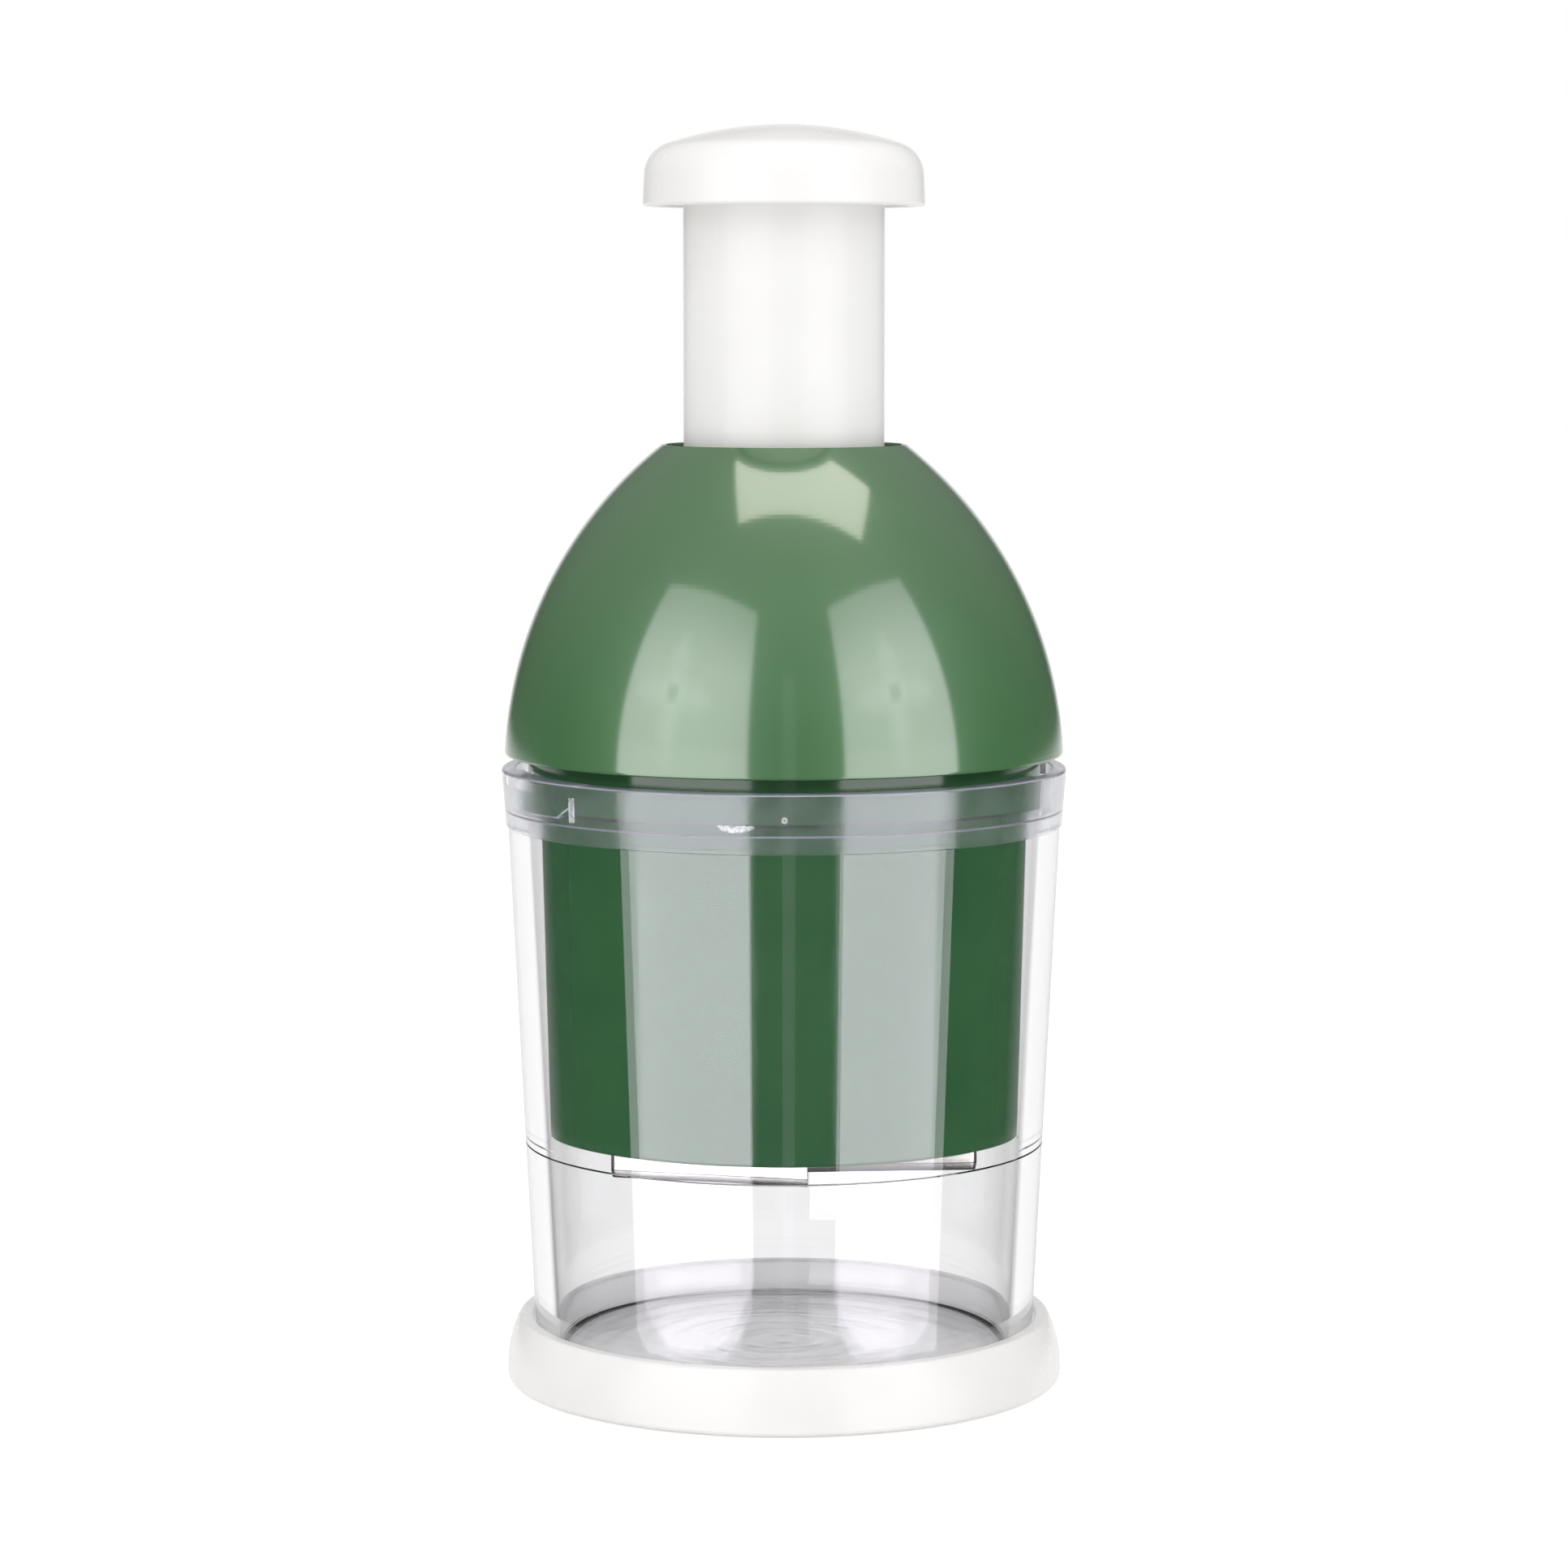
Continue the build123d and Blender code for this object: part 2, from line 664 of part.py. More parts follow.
# Spindle: journal and collar above, twisted square in the middle, square tenon below.
with BuildPart() as spindle:
    add(twisted_bar(spindle_side, twist_low, twist_high))
    ring(spindle_shank_radius, 0, holder_boss_high, spindle_shoulder)
    ring(spindle_collar_radius, 0, spindle_shoulder - spindle_collar_height, spindle_shoulder)
    ring(spindle_journal_radius, 0, spindle_shoulder, spindle_high)
    prism(spindle_tenon, spindle_low, holder_boss_high, spindle_tenon_corner)
    pilot = screw_shank_radius + running
    ring(pilot, 0, spindle_low, spindle_low + screw_length, Mode.SUBTRACT)
    ring(pilot, 0, spindle_high - screw_length, spindle_high, Mode.SUBTRACT)
spindle.part.label = "spindle"
export_step(spindle.part, "parts/spindle.step")

# Washer and screw that hang the spindle on top of the core's boss.
with BuildPart() as tip_washer:
    head_low = spindle_high + tip_washer_thickness
    ring(spindle_collar_radius, screw_shank_radius + slip, spindle_high, head_low)
tip_washer.part.label = "tip_washer"
export_step(tip_washer.part, "parts/tip_washer.step")

with BuildPart() as tip_screw:
    ring(screw_head_radius, 0, head_low, head_low + screw_head_height)
    fillet(tip_screw.edges().filter_by(GeomType.CIRCLE).group_by(Axis.Z)[-1], screw_head_height / 2)
    ring(screw_shank_radius, 0, head_low - tip_screw_length, head_low)
tip_screw.part.label = "tip_screw"
export_step(tip_screw.part, "parts/tip_screw.step")

# Blade holder: a disc with the blade's zigzag groove below and a square socket above.
with BuildPart() as blade_holder:
    ring(holder_radius, 0, holder_low, holder_high)
    ring(holder_boss_radius, 0, holder_high, holder_boss_high)
    extrude(
        blade_face(holder_low, blade_thickness + slip, slip),
        amount=holder_groove_depth,
        mode=Mode.SUBTRACT,
    )
    prism(spindle_tenon + slip, holder_high, holder_boss_high, mode=Mode.SUBTRACT)
    head_seat = holder_high - holder_web
    ring(screw_head_radius + seat_gap, 0, holder_low, head_seat, Mode.SUBTRACT)
    ring(screw_shank_radius + slip, 0, holder_low, holder_boss_high, Mode.SUBTRACT)
blade_holder.part.label = "blade_holder"
export_step(blade_holder.part, "parts/blade_holder.step")

with BuildPart() as holder_screw:
    ring(screw_head_radius, 0, head_seat - screw_head_height, head_seat)
    fillet(holder_screw.edges().filter_by(GeomType.CIRCLE).group_by(Axis.Z)[0], screw_head_height / 2)
    ring(screw_shank_radius, 0, head_seat, head_seat + tip_screw_length)
holder_screw.part.label = "holder_screw"
export_step(holder_screw.part, "parts/holder_screw.step")

# Blade: one steel strip folded to and fro, ground thin along its lower edge.
with BuildPart() as blade:
    edge_width = blade_thickness - 2 * blade_bevel_depth
    bevel_angle = degrees(atan(blade_bevel_depth / blade_bevel_height))
    extrude(blade_face(blade_low, edge_width), amount=blade_bevel_height, taper=-bevel_angle)
    bevel_high = blade_low + blade_bevel_height
    extrude(blade_face(bevel_high, blade_thickness), amount=blade_high - bevel_high)
blade.part.label = "blade"
export_step(blade.part, "parts/blade.step")

# Wiper plate: turns with the blade and strips food off it.
with BuildPart() as wiper_plate:
    ring(wiper_rim_radius, 0, wiper_low, wiper_high)
    extrude(
        blade_face(wiper_low, blade_thickness + 2 * wiper_slot_play, wiper_slot_play),
        amount=wiper_thickness,
        mode=Mode.SUBTRACT,
    )
wiper_plate.part.label = "wiper_plate"
export_step(wiper_plate.part, "parts/wiper_plate.step")

# Retaining ring that holds the wiper plate up in the sleeve's foot.
with BuildPart() as wiper_retainer:
    retainer_high = wiper_low - seat_gap
    ring(bore_foot - slip, bore_foot - retainer_width, retainer_high - retainer_height, retainer_high)
wiper_retainer.part.label = "wiper_retainer"
export_step(wiper_retainer.part, "parts/wiper_retainer.step")
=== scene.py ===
import math

import bmesh
import bpy
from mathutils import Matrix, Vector


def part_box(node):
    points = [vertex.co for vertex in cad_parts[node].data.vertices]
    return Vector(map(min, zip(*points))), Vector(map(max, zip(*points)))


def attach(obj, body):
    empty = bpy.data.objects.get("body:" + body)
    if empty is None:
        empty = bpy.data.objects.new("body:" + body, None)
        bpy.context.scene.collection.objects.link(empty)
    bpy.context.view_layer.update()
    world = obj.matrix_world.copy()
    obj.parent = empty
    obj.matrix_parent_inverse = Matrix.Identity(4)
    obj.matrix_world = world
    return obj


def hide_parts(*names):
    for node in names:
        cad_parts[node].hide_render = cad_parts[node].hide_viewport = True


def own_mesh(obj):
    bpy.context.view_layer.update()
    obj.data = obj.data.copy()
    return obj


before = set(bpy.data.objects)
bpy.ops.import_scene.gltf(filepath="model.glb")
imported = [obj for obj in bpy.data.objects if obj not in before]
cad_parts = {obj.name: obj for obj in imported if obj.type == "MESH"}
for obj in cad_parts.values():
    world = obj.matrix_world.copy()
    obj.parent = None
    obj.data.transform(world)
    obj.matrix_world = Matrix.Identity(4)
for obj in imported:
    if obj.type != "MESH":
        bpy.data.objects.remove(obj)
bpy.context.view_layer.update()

mm = 0.001


# Outlines are lists of corners (radius, height, rounding) in millimetres.
def arcBetween(start, end, centre, steps):
    startAngle = math.atan2(start[1] - centre[1], start[0] - centre[0])
    endAngle = math.atan2(end[1] - centre[1], end[0] - centre[0])
    sweep = (endAngle - startAngle + math.pi) % (2 * math.pi) - math.pi
    size = math.dist(start, centre)
    return [
        (
            centre[0] + size * math.cos(startAngle + sweep * i / steps),
            centre[1] + size * math.sin(startAngle + sweep * i / steps),
        )
        for i in range(steps + 1)
    ]


def roundCorner(before, corner, after, radius, steps=6):
    a = (Vector(before) - Vector(corner)).normalized()
    b = (Vector(after) - Vector(corner)).normalized()
    half = a.angle(b) / 2
    reach = radius / math.tan(half)
    centre = Vector(corner) + (a + b).normalized() * (radius / math.sin(half))
    start = Vector(corner) + a * reach
    end = Vector(corner) + b * reach
    return arcBetween(start, end, centre, steps)


def trace(corners, hold=0.06, every=False):
    # Rounds the corners and puts a holding ring near each end of a straight run: of the long
    # runs only, or of every run, so that outlines with the same corners keep the same count.
    spans = []
    for i, corner in enumerate(corners):
        place = corner[:2]
        radius = corner[2] if len(corner) > 2 else 0
        before, after = corners[i - 1][:2], corners[(i + 1) % len(corners)][:2]
        spans.append(roundCorner(before, place, after, radius) if radius else [place])
    held = []
    for i, span in enumerate(spans):
        held += span
        here, there = span[-1], spans[(i + 1) % len(spans)][0]
        run = math.dist(here, there)
        if every or run > 12 * hold:
            near = hold / max(run, 3 * hold)
            for share in (near, 1 - near):
                held.append(tuple(here[k] + (there[k] - here[k]) * share for k in (0, 1)))
    return held


def addObject(name, data):
    thing = bpy.data.objects.new(name, data)
    bpy.context.scene.collection.objects.link(thing)
    return thing


def meshObject(name, build, sharpAngle):
    # Makes a closed mesh at the origin from a function that fills a bmesh, normals outwards.
    work = bmesh.new()
    build(work)
    bmesh.ops.remove_doubles(work, verts=work.verts, dist=2e-7)
    bmesh.ops.dissolve_degenerate(work, edges=work.edges, dist=1e-7)
    bmesh.ops.recalc_face_normals(work, faces=work.faces)
    made = bpy.data.meshes.new(name)
    work.to_mesh(made)
    work.free()
    made.shade_smooth()
    made.set_sharp_from_angle(angle=math.radians(sharpAngle))
    return addObject(name, made)


def spin(name, columns, sharpAngle=35):
    # columns: (angle in degrees, outline) round the axis, every outline with as many points.
    def build(work):
        rings = []
        for angle, outline in columns:
            c, s = math.cos(math.radians(angle)), math.sin(math.radians(angle))
            rings.append([work.verts.new((r * c * mm, r * s * mm, z * mm)) for r, z in outline])
        for i, ring in enumerate(rings):
            other = rings[(i + 1) % len(rings)]
            for k in range(len(ring)):
                n = (k + 1) % len(ring)
                work.faces.new((ring[k], other[k], other[n], ring[n]))

    return meshObject(name, build, sharpAngle)


# Degrees between the two columns that make a step between outlines
tiny = 0.02


def spread(start, sweep, steps, outline):
    # Columns of one outline, evenly over a sweep in degrees, both ends included
    return [(start + sweep * i / steps, outline) for i in range(steps + 1)]


def lathe(name, outline, steps=240):
    return spin(name, [(360 * i / steps, outline) for i in range(steps)])


def dress(piece, body, material, node):
    piece.data.materials.clear()
    piece.data.materials.append(material)
    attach(piece, body)
    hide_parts(node)


def addNode(tree, kind, settings=None, sockets=None):
    # Each socket is given a value, or another node's output to link from.
    node = tree.nodes.new(kind)
    for key, value in (settings or {}).items():
        setattr(node, key, value)
    for key, value in (sockets or {}).items():
        if isinstance(value, bpy.types.NodeSocket):
            tree.links.new(value, node.inputs[key])
        else:
            node.inputs[key].default_value = value
    return node


# A value or colour in a shader's node tree, with the usual operators.
class Field:
    def __init__(self, recipe, socket):
        self.recipe = recipe
        self.socket = socket

    def math(self, operation, *others):
        sockets = {i: value for i, value in enumerate((self, *others))}
        return self.recipe.node("Math", {"operation": operation}, sockets)

    def __add__(self, other):
        return self.math("ADD", other)

    def __sub__(self, other):
        return self.math("SUBTRACT", other)

    def __mul__(self, other):
        return self.math("MULTIPLY", other)

    def __truediv__(self, other):
        return self.math("DIVIDE", other)

    def __rsub__(self, other):
        return (self * -1) + other

    __radd__ = __add__
    __rmul__ = __mul__

    def larger(self, other):
        return self.math("MAXIMUM", other)

    def over(self, count):
        return self.math("GREATER_THAN", count)

    def smooth(self, low, high):
        # 0 below low and 1 above high, or the other way round where high is the smaller
        if low > high:
            return 1 - self.smooth(high, low)
        sockets = {"Value": self, "From Min": low, "From Max": high}
        return self.recipe.node("MapRange", {"interpolation_type": "SMOOTHSTEP"}, sockets)

    def band(self, low, high, soft):
        return self.smooth(low - soft, low + soft) * self.smooth(high + soft, high - soft)

    def between(self, low, high):
        return self * (high - low) + low


def distance(across, along):
    return (across * across + along * along).math("SQRT")


# The node tree of a material or a world, written with Fields.
class Recipe:
    def __init__(self, owner):
        self.owner = owner
        owner.use_nodes = True
        self.tree = owner.node_tree
        self.tree.nodes.clear()

    def node(self, kind, settings=None, sockets=None, out=0):
        plain = {key: getattr(value, "socket", value) for key, value in (sockets or {}).items()}
        made = addNode(self.tree, "ShaderNode" + kind, settings, plain)
        return Field(self, made.outputs[out])

    def directions(self, coordinates):
        spot = self.node("TexCoord", out=coordinates)
        split = self.node("SeparateXYZ", None, {0: spot}).socket.node
        return [Field(self, output) for output in split.outputs]

    def axes(self):
        # The place on the piece, in millimetres
        return [axis / mm for axis in self.directions("Object")]

    def rays(self, *names):
        path = self.node("LightPath").socket.node
        return [Field(self, path.outputs[name]) for name in names]

    def noise(self, scale, detail, stretch=(1, 1, 1), roughness=0.55):
        spot = self.node("TexCoord", out="Object")
        place = self.node("Mapping", None, {"Vector": spot, "Scale": stretch})
        sockets = {"Vector": place, "Scale": scale, "Detail": detail, "Roughness": roughness}
        return self.node("TexNoise", None, sockets)

    def mixColour(self, factor, low, high):
        return self.node("Mix", {"data_type": "RGBA"}, {0: factor, 6: low, 7: high}, out=2)

    def mixShader(self, factor, low, high):
        return self.node("MixShader", None, {0: factor, 1: low, 2: high})

    def bump(self, height, depth, strength, under=None):
        # depth in millimetres
        sockets = {"Height": height, "Distance": depth * mm, "Strength": strength}
        if under is not None:
            sockets["Normal"] = under
        return self.node("Bump", None, sockets)

    def shader(self, **sockets):
        named = {key.replace("_", " "): value for key, value in sockets.items()}
        return self.node("BsdfPrincipled", None, named)

    def finish(self, surface, output="OutputMaterial"):
        addNode(self.tree, "ShaderNode" + output, None, {"Surface": surface.socket})
        return self.owner


def newRecipe(name):
    return Recipe(bpy.data.materials.new(name))


def rgb(red, green, blue):
    # The colour as a screen shows it, turned into linear light.
    def linear(value):
        return value / 12.92 if value <= 0.04045 else ((value + 0.055) / 1.055) ** 2.4

    return (linear(red / 255), linear(green / 255), linear(blue / 255), 1)


# Heights and outer radii of the main pieces, read from the frame's nodes.
def nodeRange(node):
    low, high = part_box(node)
    return low.z / mm, high.z / mm, high.x / mm


baseLow, baseHigh, baseRadius = nodeRange("base_cap")
cupLow, cupHigh = nodeRange("cup")[:2]
domeLow, domeHigh = nodeRange("dome")[:2]
sleeveLow, sleeveHigh, lugRadius = nodeRange("sleeve")
tubeLow, tubeHigh, stopRadius = nodeRange("plunger_tube")
knobLow, knobHigh, knobRadius = nodeRange("knob_cap")
bladeLow, bladeHigh = nodeRange("blade")[:2]
wiperHigh = nodeRange("wiper_plate")[1]
springLow, springHigh = nodeRange("return_spring")[:2]

print("materials")
gloss = {
    "white": rgb(244, 243, 242),
    "whiteShade": rgb(240, 239, 237),
    "green": rgb(42, 80, 48),
    "greenDeep": rgb(37, 75, 45),
    "shadowGreen": rgb(16, 34, 22),
    "domeGreen": rgb(56, 103, 57),
    "domeDeep": rgb(53, 99, 55),
    "inner": rgb(226, 225, 220),
    "rubber": rgb(168, 168, 166),
    "rubberDust": rgb(190, 190, 188),
    "steel": rgb(206, 204, 200),
    "steelDark": rgb(168, 166, 163),
    "reflectedDark": rgb(92, 90, 88),
    "clear": rgb(254, 254, 255),
    "clearFrost": rgb(241, 242, 247),
    "clearShadow": rgb(252, 252, 254),
    "frostAndGlint": rgb(240, 242, 243),
    "edgeLight": rgb(196, 196, 216),
    "lugGlint": rgb(214, 220, 224),
}
# Noise scales of the marks on moulded plastic, how much rougher wear makes it, and the depth
# of its orange peel in millimetres
moulding = {"cloud": 38, "scuff": 900, "smear": 55, "wear": 0.05, "peel": 420, "dimple": 0.01}


def mouldedSkin(recipe, tone, shade, roughness, stretch=(1, 1, 0.25)):
    # The colour, roughness and grain that the moulded plastics share
    cloud = recipe.noise(moulding["cloud"], 2).smooth(0.35, 0.7)
    scuff = recipe.noise(moulding["scuff"], 5, stretch).smooth(0.55, 0.75)
    smear = recipe.noise(moulding["smear"], 4).smooth(0.4, 0.75)
    peel = recipe.noise(moulding["peel"], 2)
    return {
        "Base_Color": recipe.mixColour(cloud, gloss[tone], gloss[shade]),
        "Roughness": (scuff + smear) * moulding["wear"] + roughness,
        "Normal": recipe.bump(peel, moulding["dimple"], 0.25),
        "IOR": 1.5,
    }


def mouldedPlastic(name, tone, shade, roughness, specular, polish=0.0):
    recipe = newRecipe(name)
    return recipe.finish(recipe.shader(
        **mouldedSkin(recipe, tone, shade, roughness), Specular_IOR_Level=specular,
        Coat_Weight=polish, Coat_Roughness=0.1, Coat_IOR=1.75,
    ))


whitePlastic = mouldedPlastic("whitePlastic", "white", "whiteShade", 0.22, 0.15)
greenPlastic = mouldedPlastic("greenPlastic", "domeGreen", "domeDeep", 0.42, 0.4, 1.0)
innerPlastic = mouldedPlastic("innerPlastic", "inner", "whiteShade", 0.42, 0.4)


print("knob")
knob = {
    "skirt": 5.2, "draft": 0.25, "shoulder": 5.9, "crownRadius": 19.8, "crownRise": 3.1,
    "wall": 2.4, "edge": 0.55, "socketBore": 17.5, "socketWall": 1.9, "socketUp": 0.3,
    "socketEdge": 0.4, "innerRise": 1.0, "innerRound": 1.6, "rootRise": 3.6, "rootRound": 0.5,
    "hollowIn": 3.0, "hollowRise": 0.9,
}


def makeKnob():
    wall, bore = knob["wall"], knob["socketBore"]
    crownLow = knobHigh - knob["crownRise"]
    crownCurve = (knob["crownRadius"] ** 2 + knob["crownRise"] ** 2) / (2 * knob["crownRise"])
    crownEnd = (knob["crownRadius"], crownLow)
    crown = arcBetween((0, knobHigh), crownEnd, (0, knobHigh - crownCurve), steps=28)
    skirtTop = knobLow + knob["skirt"]
    side = knobRadius - knob["draft"]
    shoulder = arcBetween(crownEnd, (side, skirtTop), (side - knob["shoulder"], skirtTop), steps=18)
    socketLow = knobLow + knob["socketUp"]
    socketOut = bore + knob["socketWall"]
    corners = [
        *crown, *shoulder[1:], (knobRadius, knobLow, knob["edge"]),
        (knobRadius - wall, knobLow, knob["edge"]),
        (side - wall, skirtTop + knob["innerRise"], knob["innerRound"]),
        (socketOut, skirtTop + knob["rootRise"], knob["rootRound"]),
        (socketOut, socketLow, knob["socketEdge"]), (bore, socketLow, knob["socketEdge"]),
        (bore, crownLow - wall, knob["rootRound"]),
        (bore - knob["hollowIn"], crownLow - wall + knob["hollowRise"]), (0, knobHigh - wall),
    ]
    return lathe("knobCap", trace(corners))


dress(makeKnob(), "plunger", whitePlastic, "knob_cap")

print("tube")
tube = {
    "radius": 17.4, "wall": 2.0, "edge": 0.4, "stopDepth": 3.0, "stopHigh": 143.55, "notch": 5.8,
    "notchFloor": 17.6, "stopSteps": 96, "notchSteps": 8,
}


def makeTube():
    radius = tube["radius"]
    bore = radius - tube["wall"]
    stopHigh = tube["stopHigh"]
    stopLow = stopHigh - tube["stopDepth"]

    def outline(stop):
        # The points 0.1 and 1 mm from an edge hold the shading beside it.
        return [
            (bore, tubeHigh), (radius - tube["edge"], tubeHigh), (radius, tubeHigh - tube["edge"]),
            (radius, tubeHigh - 1), (radius, stopHigh + 0.1), (radius, stopHigh),
            (stop, stopHigh), (stop, stopLow), (radius, stopLow),
            (radius, tubeLow), (bore, tubeLow), (bore, tubeLow + 1),
        ]

    half = math.degrees(math.asin(tube["notch"] / 2 / stopRadius))
    columns = []
    for turn in (0, 180):
        first = turn + 90 + half
        last = turn + 270 - half
        columns += spread(first, last - first, tube["stopSteps"], outline(stopRadius))
        for i in range(tube["notchSteps"] + 1):
            share = (i + tiny) / (tube["notchSteps"] + 2 * tiny)
            angle = last + tiny + (2 * half - 2 * tiny) * share
            columns.append((angle, outline(tube["notchFloor"])))
    return spin("plungerTube", columns)


dress(makeTube(), "plunger", whitePlastic, "plunger_tube")

print("dome")
dome = {
    "bulge": 48.7, "curve": 71.8, "arcDrop": 2.9, "mouth": 20.5, "wall": 2.4, "lip": 0.5,
    "neckWall": 2.2, "neckDepth": 18.2, "crown": 3.3, "rimRound": 0.3,
}


def makeDome():
    lip, mouth, wall = dome["lip"], dome["mouth"], dome["wall"]
    level = domeLow - dome["arcDrop"]
    centre = (dome["bulge"] - dome["curve"], level)

    def flank(z, inset=0.0):
        return centre[0] + math.sqrt((dome["curve"] - inset) ** 2 - (z - level) ** 2)

    # The lips' rounded edges are given as shares of the lip.
    lipOut = mouth + lip * 1.4
    outerLow = (flank(domeLow + lip), domeLow + lip)
    outerHigh = (lipOut, level + math.sqrt(dome["curve"] ** 2 - (lipOut - centre[0]) ** 2))
    outside = arcBetween(outerLow, outerHigh, centre, steps=72)
    cavityHigh = domeHigh - dome["crown"]
    innerHigh = (flank(cavityHigh, wall), cavityHigh)
    innerLow = (flank(domeLow, wall), domeLow + dome["rimRound"])
    inside = arcBetween(innerHigh, innerLow, centre, steps=40)
    neckOut = mouth + dome["neckWall"]
    neckLow = domeHigh - dome["neckDepth"]
    corners = [
        *outside, (mouth + lip * 0.45, domeHigh - lip * 0.12), (mouth, domeHigh - lip * 0.9),
        (mouth, neckLow), (neckOut, neckLow), (neckOut, cavityHigh - 0.05), *inside,
        (flank(domeLow, wall) + dome["rimRound"], domeLow), (flank(domeLow) - lip, domeLow),
        (flank(domeLow) - lip * 0.25, domeLow + lip * 0.3),
    ]
    return lathe("domeShell", trace(corners), 256)


dress(makeDome(), "housing", greenPlastic, "dome")

print("sleeve")
sleeve = {
    "foot": 41.02, "neck": 42.4, "wall": 2.0, "flange": 44.6, "flangeDepth": 7.8,
    "flangeWall": 2.6, "step": 0.5, "edge": 0.55, "hubLedge": 0.7, "spigot": 45.26,
    "lugHang": 0.7, "lugHeight": 3.6, "lugSweep": 30.0, "lugFront": 219.7, "lead": 4.2,
    "leadRise": 2.3, "lugRound": 0.3, "glintLength": 24.0, "ribWidth": 1.5, "ribHeight": 1.6,
}
flangeLow = domeLow - sleeve["flangeDepth"]
lugLow = flangeLow - sleeve["lugHang"]
lugHigh = lugLow + sleeve["lugHeight"]


def sleevePlastic(name):
    # The moulded green, with a painted highlight: the edges of the two lock lugs painted pale where
    # they would catch the light
    recipe = newRecipe(name)
    x, y, z = recipe.axes()
    radius = distance(x, y)
    # Painted highlight: pale paint along each lug's lower and end edges, reaching a set length back
    # from the lug's front
    lugGlint = 0.0
    for turn in (0, math.pi):
        front = math.radians(sleeve["lugFront"]) + turn
        out = x * math.cos(front) + y * math.sin(front)
        along = y * math.cos(front) - x * math.sin(front)
        rise = (along + sleeve["lead"]).larger(0.0) * (sleeve["leadRise"] / sleeve["lead"])
        lower = (z - rise - lugLow).band(-0.1, 0.22, 0.08)
        end = along.band(-0.12, 0.2, 0.06) * z.band(lugLow, lugHigh, 0.1)
        reach = along.band(-sleeve["glintLength"], 0.2, 0.2) * out.smooth(30, 34)
        lugGlint = lugGlint + lower.larger(end) * reach
    onLug = radius.smooth(sleeve["flange"] + 0.1, sleeve["flange"] + 0.3)
    patchy = recipe.noise(1400, 3).smooth(0.3, 0.6).between(0.35, 0.9)
    # The shadow line under the flange, beside the lugs
    besideLug = radius.smooth(sleeve["flange"] + 0.8, sleeve["flange"] + 0.6)
    shadow = z.band(flangeLow - 0.4, flangeLow + 0.32, 0.08) * besideLug * 0.85
    look = mouldedSkin(recipe, "green", "greenDeep", 0.1)
    shaded = recipe.mixColour(shadow, look["Base_Color"], gloss["shadowGreen"])
    # The painted highlight is laid over the colour on the lugs
    look["Base_Color"] = recipe.mixColour(lugGlint * onLug * patchy, shaded, gloss["lugGlint"])
    return recipe.finish(recipe.shader(**look, Specular_IOR_Level=0.5))


def makeSleeve():
    spigotLow = domeLow + sleeve["step"]
    ledge = flangeLow + sleeve["hubLedge"]
    boreFoot = sleeve["foot"] - sleeve["wall"]
    boreNeck = sleeve["neck"] - sleeve["wall"]
    innerFlange = sleeve["flange"] - sleeve["flangeWall"]
    ribLow = wiperHigh + 0.3
    ribHigh = ribLow + sleeve["ribHeight"]
    ribIn = boreFoot - sleeve["ribWidth"]

    def outline(reach, low):
        # reach is the lug's radius, or the flange's where there is no lug
        out = max(reach, sleeve["flange"])
        foot = min(low, flangeLow)
        high = max(lugHigh, foot + 0.2)
        soft = min(sleeve["lugRound"], out - sleeve["flange"])
        angles = [k * math.pi / 6 for k in range(4)]
        turns = [(soft * math.sin(angle), soft * (1 - math.cos(angle))) for angle in angles]
        corners = [
            (boreFoot, sleeveLow, sleeve["edge"]), (sleeve["foot"], sleeveLow, sleeve["edge"]),
            (sleeve["neck"], foot - 0.02),
            *[(out - soft + across, foot + up) for across, up in turns],
            *[(out - up, high - soft + across) for across, up in turns],
            (sleeve["flange"], high), (sleeve["flange"], spigotLow),
            (sleeve["spigot"], spigotLow), (sleeve["spigot"], sleeveHigh),
            (innerFlange, sleeveHigh), (innerFlange, ledge), (boreNeck, ledge),
            (boreFoot + 0.3, ribHigh), (ribIn, ribHigh), (ribIn, ribLow), (boreFoot, ribLow),
        ]
        return trace(corners, 0.05, True)

    leadAngle = math.degrees(sleeve["lead"] / lugRadius)
    leadSteps = 6
    columns = []
    for turn in (0, 180):
        back = sleeve["lugFront"] - sleeve["lugSweep"] + turn
        front = sleeve["lugFront"] + turn
        columns += spread(back, front - leadAngle - back, 24, outline(lugRadius, lugLow))
        for i in range(1, leadSteps + 1):
            rise = sleeve["leadRise"] * i / leadSteps
            angle = front - leadAngle * (1 - i / leadSteps)
            columns.append((angle, outline(lugRadius, lugLow + rise)))
        gap = 180 - sleeve["lugSweep"] - 2 * tiny
        columns += spread(front + tiny, gap, 120, outline(sleeve["flange"], flangeLow))
    return spin("sleeveSkirt", columns)


greenSleeve = sleevePlastic("greenSleeve")
dress(makeSleeve(), "housing", greenSleeve, "sleeve")

print("cup")
cup = {
    "foot": 43.5, "neck": 48.1, "floor": 2.5, "footWall": 3.9, "neckWall": 3.5,
    "collarDepth": 10.0, "collarStep": 0.3, "collarFlare": 0.8, "bore": 45.3, "ledge": 7.1,
    "groove": 46.7, "grooveLow": 6.5, "grooveHigh": 2.3, "parting": 38.3, "partingDepth": 0.16,
    "floorRound": 1.5, "footLift": 0.06, "rim": 0.5, "lip": 0.35, "footRound": 0.7,
    "softRound": 0.12, "stop": 221.2, "run": 65.0, "slot": 33.0,
}
# The scar that the gate left and the small bubble, both at the front
cupMarks = {
    "gateX": -7.9, "gateHalf": 3.1, "gateHigh": 102.5, "gateDeep": 1.2,
    "bubbleX": 0.1, "bubbleHigh": 103.5, "ringPitch": 5.5, "ringWander": 9.0,
}
collarLow = cupHigh - cup["collarDepth"]
cupFloor = cupLow + cup["floor"]
grooveLow = cupHigh - cup["grooveLow"]
grooveHigh = cupHigh - cup["grooveHigh"]
mouthLedge = cupHigh - cup["ledge"]


